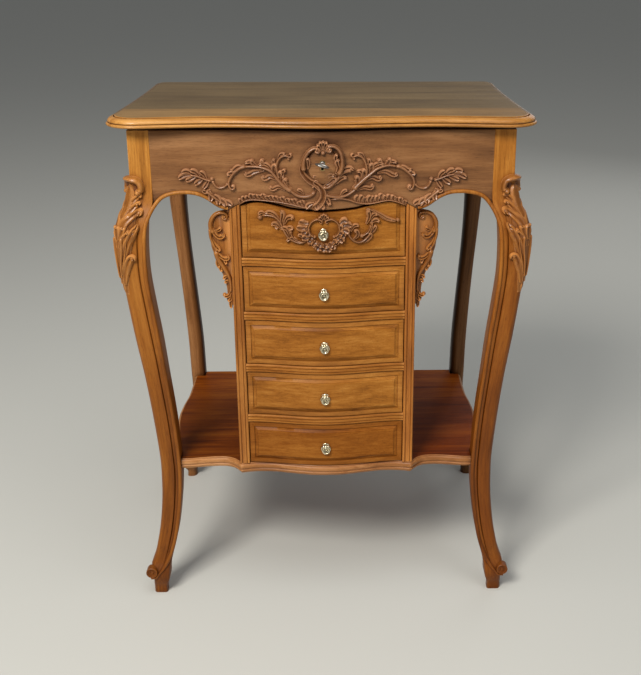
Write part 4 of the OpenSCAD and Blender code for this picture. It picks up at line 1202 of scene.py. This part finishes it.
WING_H = 141.0
WING_TOP = FRAME_TOP - 116
WING_FRONT, WING_BACK = 24.0, 36.0
WING_MARKS = [
    (band, wound([155, 588, 160, 596, 160, 606, 155, 615, 147, 619.5, 140, 619], 5.0, 1.0, 1),
     3.2, 1.6, 3.2),
    (ball, [140, 613.5], 2.2, 3.6),
    (band, [152, 562, 157, 572, 161, 584, 161.5, 598], 1.5, 2.2, 3.0),
    (leaf, [158, 598, 155, 589, 149, 584, 143, 586, 142, 590], 3.2, 3.6, 2),
    (leaf, [157, 594, 152, 593, 147, 596, 149, 599], 2.0, 3.2),
    (leaf, [160, 584, 157, 574, 151, 567, 147, 563], 2.8, 3.0),
    (leaf, [155, 566, 150, 557, 143, 552, 137, 553, 138, 558], 2.8, 3.6, 2),
    (leaf, [148, 556, 142, 549, 140, 543], 2.2, 3.0),
    (band, [155, 566, 152, 552, 144, 538, 137, 525, 135, 511, 136, 499], 3.6, 1.9, 3.2),
    (leaf, [152, 556, 153, 545, 150, 537], 2.4, 2.8),
    (leaf, [148, 546, 149, 538, 147, 532], 2.2, 2.8),
    (leaf, [138, 524, 142, 525, 146, 521], 2.0, 3.0),
    (leaf, [137, 517, 141, 518, 144, 515], 1.9, 3.0),
    (leaf, [136, 504, 138, 497, 143, 495, 146, 498], 2.2, 3.4),
    (ball, [145, 497], 2.6, 4.0),
    (leaf, [135, 500, 136, 491, 141, 487], 2.2, 3.0),
    (leaf, [134, 492, 137, 484, 136, 476], 1.9, 2.8),
]


def bracket_shape(side):
    """A wing bracket with its carving, mirrored to the left if side is -1."""
    drop = WING_H * (1 - np.cos(np.linspace(0, np.pi, 70))) / 2
    edge = np.stack([STILE_OUT + through(WING, drop), WING_TOP - drop], -1)
    rings = []
    for y, pull in ((WING_BACK - WING_FRONT, 0), (2.4, 0), (1.7, 0.5), (1.5, 1.4)):
        y += WING_FRONT
        line = [(side * max(STILE_OUT, x - pull), y, z) for x, z in edge]
        rings.append(line + [(side * STILE_OUT, y, WING_TOP - WING_H), (side * STILE_OUT, y, WING_TOP)])
    shape = Shape(rings)
    carve(shape, flat_surface(WING_FRONT + 1.6), WING_MARKS, side)
    return shape


for side, word in SIDES:
    bracket_shape(side).build(f"bracket_carved_{word}", knee_wood, "frame", "walnut", f"bracket_{word}")

# ------------------------------------------------------------------ beads under the side aprons

for side, word in SIDES:
    y = np.linspace(POST_BACK - 2, REAR_FRONT + 1, 60)
    z = FRAME_TOP - through(SIDE_DROP, (y - POST_BACK) / (REAR_FRONT - POST_BACK)) + BEAD_OUT
    path = np.stack([np.full_like(y, side * (POST_IN + 28)), y, z], -1)
    along = unit(np.gradient(path, axis=0))
    out = np.tile([float(side), 0.0, 0.0], (len(path), 1))
    bead = Shape()
    tube(bead, path, np.cross(along, out), out, BEAD_R, 12)
    bead.build(f"side_bead_{word}", side_wood, "frame", "apron_walnut")

# ------------------------------------------------------------------ drawers

FRONT_BACK = 30.0
FRONT_HALF = OPENING_HALF - 1.0
# Raised panel of a drawer front: distance in from the edge, and how far it stands out.
PANEL = [
    (0, -3.6), (0.3, -2.8), (0.9, -2.5), (7.4, -2.5), (7.7, -3.5), (8.3, -3.6), (12.6, -0.8),
    (12.9, -0.9), (13.1, -0.2), (13.7, 0), (16, 0),
]
ACROSS, UP = 61, 9


def panel_ring(n, d, y_of):
    """Points round the front of drawer n, a distance d in from its edge."""
    half = FRONT_HALF - d
    low = opening_z(n) + 1.0 + d
    x = np.linspace(-half, half, ACROSS)
    top = edge_z(x) - 3.6 if n == 1 else np.full(ACROSS, opening_z(n) + OPENING_H - 0.8 - d)
    bottom = [(a, low) for a in x]
    right = [(half, low + (top[-1] - low) * k / (UP + 1)) for k in range(1, UP + 1)]
    left = [(-half, low + (top[0] - low) * k / (UP + 1)) for k in range(UP, 0, -1)]
    return [(a, y_of(a), b) for a, b in [*bottom, *right, *zip(x[::-1], top[::-1]), *left]]


def drawer_front_shape(n):
    """Front of drawer n with its raised panel."""
    rings = [panel_ring(n, 0, lambda a: FRONT_BACK)]
    for d, out in PANEL:
        rings.append(panel_ring(n, d, lambda a, out=out: float(bow_y(a)) - out))
    shape = Shape()
    first = shape.grid(rings, loop_columns=True)
    size = len(rings[0])
    shape.faces.append(tuple(first + c for c in range(size)))
    last = rings[-1]
    low_row, high_row = last[:ACROSS], last[ACROSS + UP:2 * ACROSS + UP][::-1]
    u = np.linspace(0, 1, UP + 2)[:, None, None]
    field = np.array(low_row) * (1 - u) + np.array(high_row) * u
    shape.grid(field)
    return shape


for n in range(1, 6):
    drawer_front_shape(n).build(f"drawer_{n}_panel", front_wood, f"drawer_{n}", "front_walnut",
                                f"drawer_{n}_front")

DRAWER_SHELL = [
    (leaf, ray(1, 614, angle, 2, reach), 2.0, 3.4)
    for angle, reach in ((140, 9), (112, 10), (90, 11), (68, 10), (40, 9))
]
DRAWER_MARKS = [
    # Heart-shaped frame round the pull, with a ruffled shell edge outside it.
    (band, wound([-12, 590, -18.5, 596, -20, 604, -16.5, 612, -9, 616.5, -3, 615], 2.4, 0.9, -1),
     1.5, 1.1, 3.0),
    (band, wound([15, 590, 21, 596, 22.5, 604, 19, 612, 11.5, 616.5, 5, 615], 2.4, 0.9, 1),
     1.5, 1.1, 3.0),
    (ball, [-12, 591], 1.9, 3.4),
    (ball, [15, 591], 1.9, 3.4),
    (fringe, [-20, 613, -22, 602, -17, 591, -9, 582, 1.5, 577, 12, 582, 20, 591, 25, 602, 23, 613],
     [-34, 618, -36, 601, -27, 587, -15, 576, 1.5, 567.5, 18, 576, 30, 587, 39, 602, 36, 619],
     16, 3.2, 0.0, 0.5),
    (fringe, [-19, 606, -17, 594, -9, 585, 1.5, 581, 12, 585, 20, 594, 22, 606],
     [-27, 608, -23, 592, -13, 580, 1.5, 574.5, 16, 580, 26, 592, 30, 608], 11, 3.8, 0.0, 0.5),
    *DRAWER_SHELL,
    # Tendrils and their leaves to either side.
    (leaf, [-34, 583, -41, 588, -48, 587, -52, 583], 2.2, 3.0),
    (leaf, [-47, 589, -49, 598, -54, 603, -60, 602], 2.6, 3.0),
    (leaf, [-60, 612, -68, 622, -76, 625, -82, 623], 2.4, 3.0),
    (leaf, [-55, 600, -47, 604, -41, 602], 2.2, 3.0),
    (leaf, [-26, 585, -30, 592, -36, 594], 2.2, 3.0),
    (leaf, [42, 586, 48, 592, 47, 598, 42, 599], 2.4, 3.0),
    (leaf, [52, 582, 60, 584, 66, 591, 64, 596], 2.8, 3.0),
    (leaf, [64, 592, 70, 598, 74, 606], 2.4, 3.0),
    (leaf, [60, 628, 68, 627, 78, 621, 90, 614, 103, 611], 2.6, 3.0),
    (leaf, [38, 598, 43, 606, 50, 607], 2.2, 3.0),
    (band,
     [-24, 584, -33, 582.5, -42, 585, -50, 591, -55.5, 600.5, -60.5, 612, -68, 618.5, -80, 620.5, -88, 618],
     1.7, 1.6, 2.8),
    (band, [-30, 583, -40, 587, -44.5, 594, -45, 600], 1.3, 1.2, 2.6),
    (ball, [-45.5, 600.5], 2.6, 3.6),
    (ball, [-88.5, 617], 3.4, 4.2),
    (leaf, [-80, 621, -86, 624, -91, 622], 2.2, 3.2),
    (leaf, [-55.5, 603, -57.5, 614, -56, 623, -59, 629], 3.2, 3.6, 2),
    (leaf, [-54, 609, -50, 617, -44, 619, -41, 616], 2.8, 3.6),
    (leaf, [-59, 602, -66, 608, -73, 608], 2.8, 3.4),
    (leaf, [-62, 613, -66, 606, -63, 601], 2.0, 3.0),
    (band, [37, 604, 35.5, 594, 42, 585, 52, 582, 62.5, 590, 68, 603, 67.5, 614], 1.7, 1.5, 2.8),
    (band, [67, 606, 62.5, 596, 55, 591], 1.3, 1.1, 2.6),
    (ball, [54, 590.5], 2.6, 3.6),
    (leaf, [60, 608, 64, 618, 62, 629], 3.0, 3.6, 2),
    (leaf, [66, 608, 73, 613, 79, 611], 2.6, 3.4),
    (leaf, [66, 614, 70, 621, 76, 622], 2.4, 3.2),
    (band, [60, 630.5, 70, 626, 80, 619, 91, 613, 105, 611.5], 1.5, 1.3, 2.6),
    (ball, [105, 611.5], 2.4, 3.4),
]
drawer_carving = Shape()
carve(drawer_carving, front_surface, DRAWER_MARKS)
drawer_carving.build("drawer_1_carving", drawer_carving_wood, "drawer_1", "front_walnut")

# ------------------------------------------------------------------ pulls


def hoop(shape, steps, sides, place):
    """A closed ring; place(a, b) is its point at angle a round it and b round its section."""
    shape.grid([[place(a, b) for b in turns(sides)] for a in turns(steps)],
               loop_rows=True, loop_columns=True)


def lathe_y(shape, x, z, profile, sides=28):
    """A turned form whose axis runs front to back; profile rows are the radius and y."""
    t = turns(sides)
    shape.solid([[(x + r * math.cos(a), y, z + r * math.sin(a)) for a in t] for r, y in profile])


def lathe_x(shape, y, z, profile, sides=20, hollow=False):
    """A turned form whose axis runs from side to side; profile rows are x and the radius."""
    t = turns(sides)
    shape.grid([[(x, y + r * math.cos(a), z + r * math.sin(a)) for a in t] for x, r in profile],
               loop_columns=True, loop_rows=hollow, caps=not hollow)


PULL_FACE = FRAME_FRONT - BOW
PULL_Y = PULL_FACE - 4.5
RING_DROP, RING_R = 7.1, 4.8


def pull_plate_shape(pivot):
    """Backplate of a pull, with the two ears that hold its ring's pin at height pivot."""
    shape = Shape()
    front = PULL_FACE
    lathe_y(shape, 0, pivot - RING_DROP + 1, [
        (7.2, front + 0.2), (7.3, front - 0.6), (6.9, front - 1.2), (6.2, front - 1.4),
        (5.0, front - 1.0), (4.1, front - 0.4), (2.9, front - 0.4), (2.4, front - 1.2),
        (2.0, front - 2.4), (1.2, front - 2.9), (0.2, front - 3.0),
    ])
    for s in (-1, 1):
        lathe_x(shape, PULL_Y, pivot, [
            (s * 1.8, 0.9), (s * 1.9, 1.5), (s * 2.4, 2.0), (s * 3.2, 2.2), (s * 4.1, 2.0),
            (s * 4.8, 1.3), (s * 5.1, 0.3),
        ])
        post = [(1.0, PULL_Y + 0.2), (1.0, PULL_Y + 2.0), (1.9, front - 0.9), (2.6, front + 0.2)]
        lathe_y(shape, s * 3.3, pivot, post, 16)
    lathe_x(shape, PULL_Y, pivot, [(-2.5, 0.8), (2.5, 0.8)], 16)
    rose = [(4.1, front + 0.2), (4.2, front - 0.6), (3.7, front - 1.1), (0.5, front - 1.3)]
    lathe_y(shape, 0, pivot - 0.6, rose, 24)
    return shape


def pull_ring_shape(pivot):
    """Ring of a pull, thicker below, with the eye that turns on the pin."""
    shape = Shape()

    def place(a, b):
        wire = 1.0 + 0.25 * (0.5 - 0.5 * math.sin(a))
        r = RING_R + wire * math.cos(b)
        return r * math.cos(a), PULL_Y + wire * 0.9 * math.sin(b), pivot - RING_DROP + r * math.sin(a)

    hoop(shape, 44, 14, place)
    eye = [(-1.5, 0.88), (-1.6, 1.3), (-1.3, 1.6), (0, 1.7), (1.3, 1.6), (1.6, 1.3), (1.5, 0.88)]
    lathe_x(shape, PULL_Y, pivot, eye, hollow=True)
    return shape


for n in range(1, 6):
    pivot = opening_z(n) + OPENING_H / 2 + (7 if n == 1 else 0) + 1.2
    for part, shape, body in (("plate", pull_plate_shape(pivot), f"drawer_{n}"),
                              ("ring", pull_ring_shape(pivot), f"ring_{n}")):
        node = f"drawer_{n}_ring" if part == "ring" else f"drawer_{n}_pull_plate"
        shape.build(f"pull_{part}_{n}", pale_brass, body, "pull_brass", node)

# ------------------------------------------------------------------ key

key_high = local_box("key")[1]
KEY_TILT, BOW_MIDDLE = math.radians(16), -18.5


def key_shape():
    """The key: a turned shank with a collar, an oval bow and a bit, a little tilted as in its lock."""
    shape = Shape()
    lathe_y(shape, 0, KEYHOLE_Z, [
        (1.05, key_high[1]), (1.95, key_high[1]), (2.0, key_high[1] - 0.3), (2.0, -4.4), (2.6, -4.6),
        (3.1, -5.2), (3.1, -5.9), (2.5, -6.4), (2.1, -6.6), (2.5, -7.2), (2.5, -7.8), (2.0, -8.2),
        (1.8, -10.5), (1.5, -12.0), (0.4, -12.2),
    ], 24)

    def bow(a, b):
        wire = 1.4 * math.cos(b)
        x, y = (8.6 + wire) * math.cos(a), (6.1 + wire) * math.sin(a)
        return x, BOW_MIDDLE + y, KEYHOLE_Z + 1.3 * math.sin(b)

    hoop(shape, 48, 12, bow)
    bit = [(-8, 23.7), (-1.4, 23.7), (-1.4, 28.3), (-8, 28.3)]
    shape.solid([[(x, y, KEYHOLE_Z + z) for x, y in bit] for z in (-0.95, 0.95)])
    c, s = math.cos(KEY_TILT), math.sin(KEY_TILT)
    middle = np.array([0, 0, KEYHOLE_Z])
    turn = np.array([[c, 0, s], [0, 1, 0], [-s, 0, c]])
    shape.points = [(points - middle) @ turn.T + middle for points in shape.points]
    return shape


key_shape().build("key_turned", dull_steel, "key", "lock_steel", "key")

# ------------------------------------------------------------------ the CAD nodes that stay

NODE_MATERIALS = {
    "apron_back": apron_wood, "apron_left": side_wood, "apron_right": side_wood,
    "cabinet_side_left": case_wood, "cabinet_side_right": case_wood, "cabinet_back": oak_along_x,
    "compartment_floor": oak_along_x, "compartment_dividers": oak_along_y, "drawer_runners": oak_along_y,
    "lock_case": dull_steel, "lock_bolt": dull_steel, "link_plate": dull_steel,
    "keyhole_escutcheon": aged_brass, "hinge_frame_leaves": aged_brass, "hinge_lid_leaves": aged_brass,
    "hinge_pins": aged_brass, "frame_screws": screw_steel, "lid_screws": screw_steel,
}
for n in range(1, 6):
    NODE_MATERIALS[f"drawer_{n}_box"] = oak_along_y
    NODE_MATERIALS[f"drawer_{n}_bottom"] = oak_along_x
for node, material in NODE_MATERIALS.items():
    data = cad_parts[node].data
    data.materials.clear()
    data.materials.append(material)

# ------------------------------------------------------------------ floor, light and camera

FLOOR_HALF = 60.0
TABLE_MIDDLE = Vector((0, 0, 0.5))


def stage_floor():
    """The plain pale floor, which is part of the stage and not of the table."""
    paint = Shading("pale_floor")
    paint.set(Base_Color=(0.56, 0.56, 0.52), Roughness=0.9)
    mesh = bpy.data.meshes.new("floor")
    corners = [(-1, -1, 0), (1, -1, 0), (1, 1, 0), (-1, 1, 0)]
    mesh.from_pydata([(FLOOR_HALF * x, FLOOR_HALF * y, z) for x, y, z in corners], [], [(0, 1, 2, 3)])
    mesh.materials.append(paint.material)
    floor = bpy.data.objects.new("floor", mesh)
    bpy.context.scene.collection.objects.link(floor)


def softbox(name, place, size, power, colour=WHITE):
    """A large soft lamp that faces the middle of the table."""
    light = bpy.data.lights.new(name, "AREA")
    light.shape = "RECTANGLE"
    light.size, light.size_y = size
    light.energy = power
    light.color = colour
    obj = bpy.data.objects.new(name, light)
    obj.location = place
    obj.rotation_euler = (TABLE_MIDDLE - Vector(place)).to_track_quat("-Z", "Y").to_euler()
    bpy.context.scene.collection.objects.link(obj)


stage_floor()
softbox("key_light", (-1.1, -2.2, 2.5), (1.1, 0.9), 98, (1.0, 0.96, 0.90))
softbox("fill_light", (2.2, -2.0, 1.6), (2.0, 2.0), 12, (0.96, 0.98, 1.0))
softbox("top_light", (0, -0.9, 3.0), (2.2, 1.6), 26)
softbox("back_light", (1.6, 2.4, 1.6), (1.6, 1.4), 8)

world = bpy.data.worlds.new("studio")
world.use_nodes = True
world.node_tree.nodes["Background"].inputs["Color"].default_value = (0.86, 0.88, 0.90, 1)
world.node_tree.nodes["Background"].inputs["Strength"].default_value = 0.22
scene = bpy.context.scene
scene.world = world
scene.view_settings.view_transform = "Standard"

CAMERA_PLACE = Vector((0.0218, -1.6433, 0.9990))
CAMERA_FORWARD = Vector((0.01933, 0.93228, -0.36121)).normalized()
CAMERA_UP = Vector((0.00698, 0.36114, 0.93248))
camera_data = bpy.data.cameras.new("camera")
camera_data.lens = 56.78
camera_data.shift_x = -0.0588
camera_data.sensor_width = 36.0
camera = bpy.data.objects.new("camera", camera_data)
right = CAMERA_FORWARD.cross(CAMERA_UP).normalized()
up = right.cross(CAMERA_FORWARD)
turn = Matrix((right, up, -CAMERA_FORWARD)).transposed().to_4x4()
camera.matrix_world = Matrix.Translation(CAMERA_PLACE) @ turn
scene.collection.objects.link(camera)
scene.camera = camera
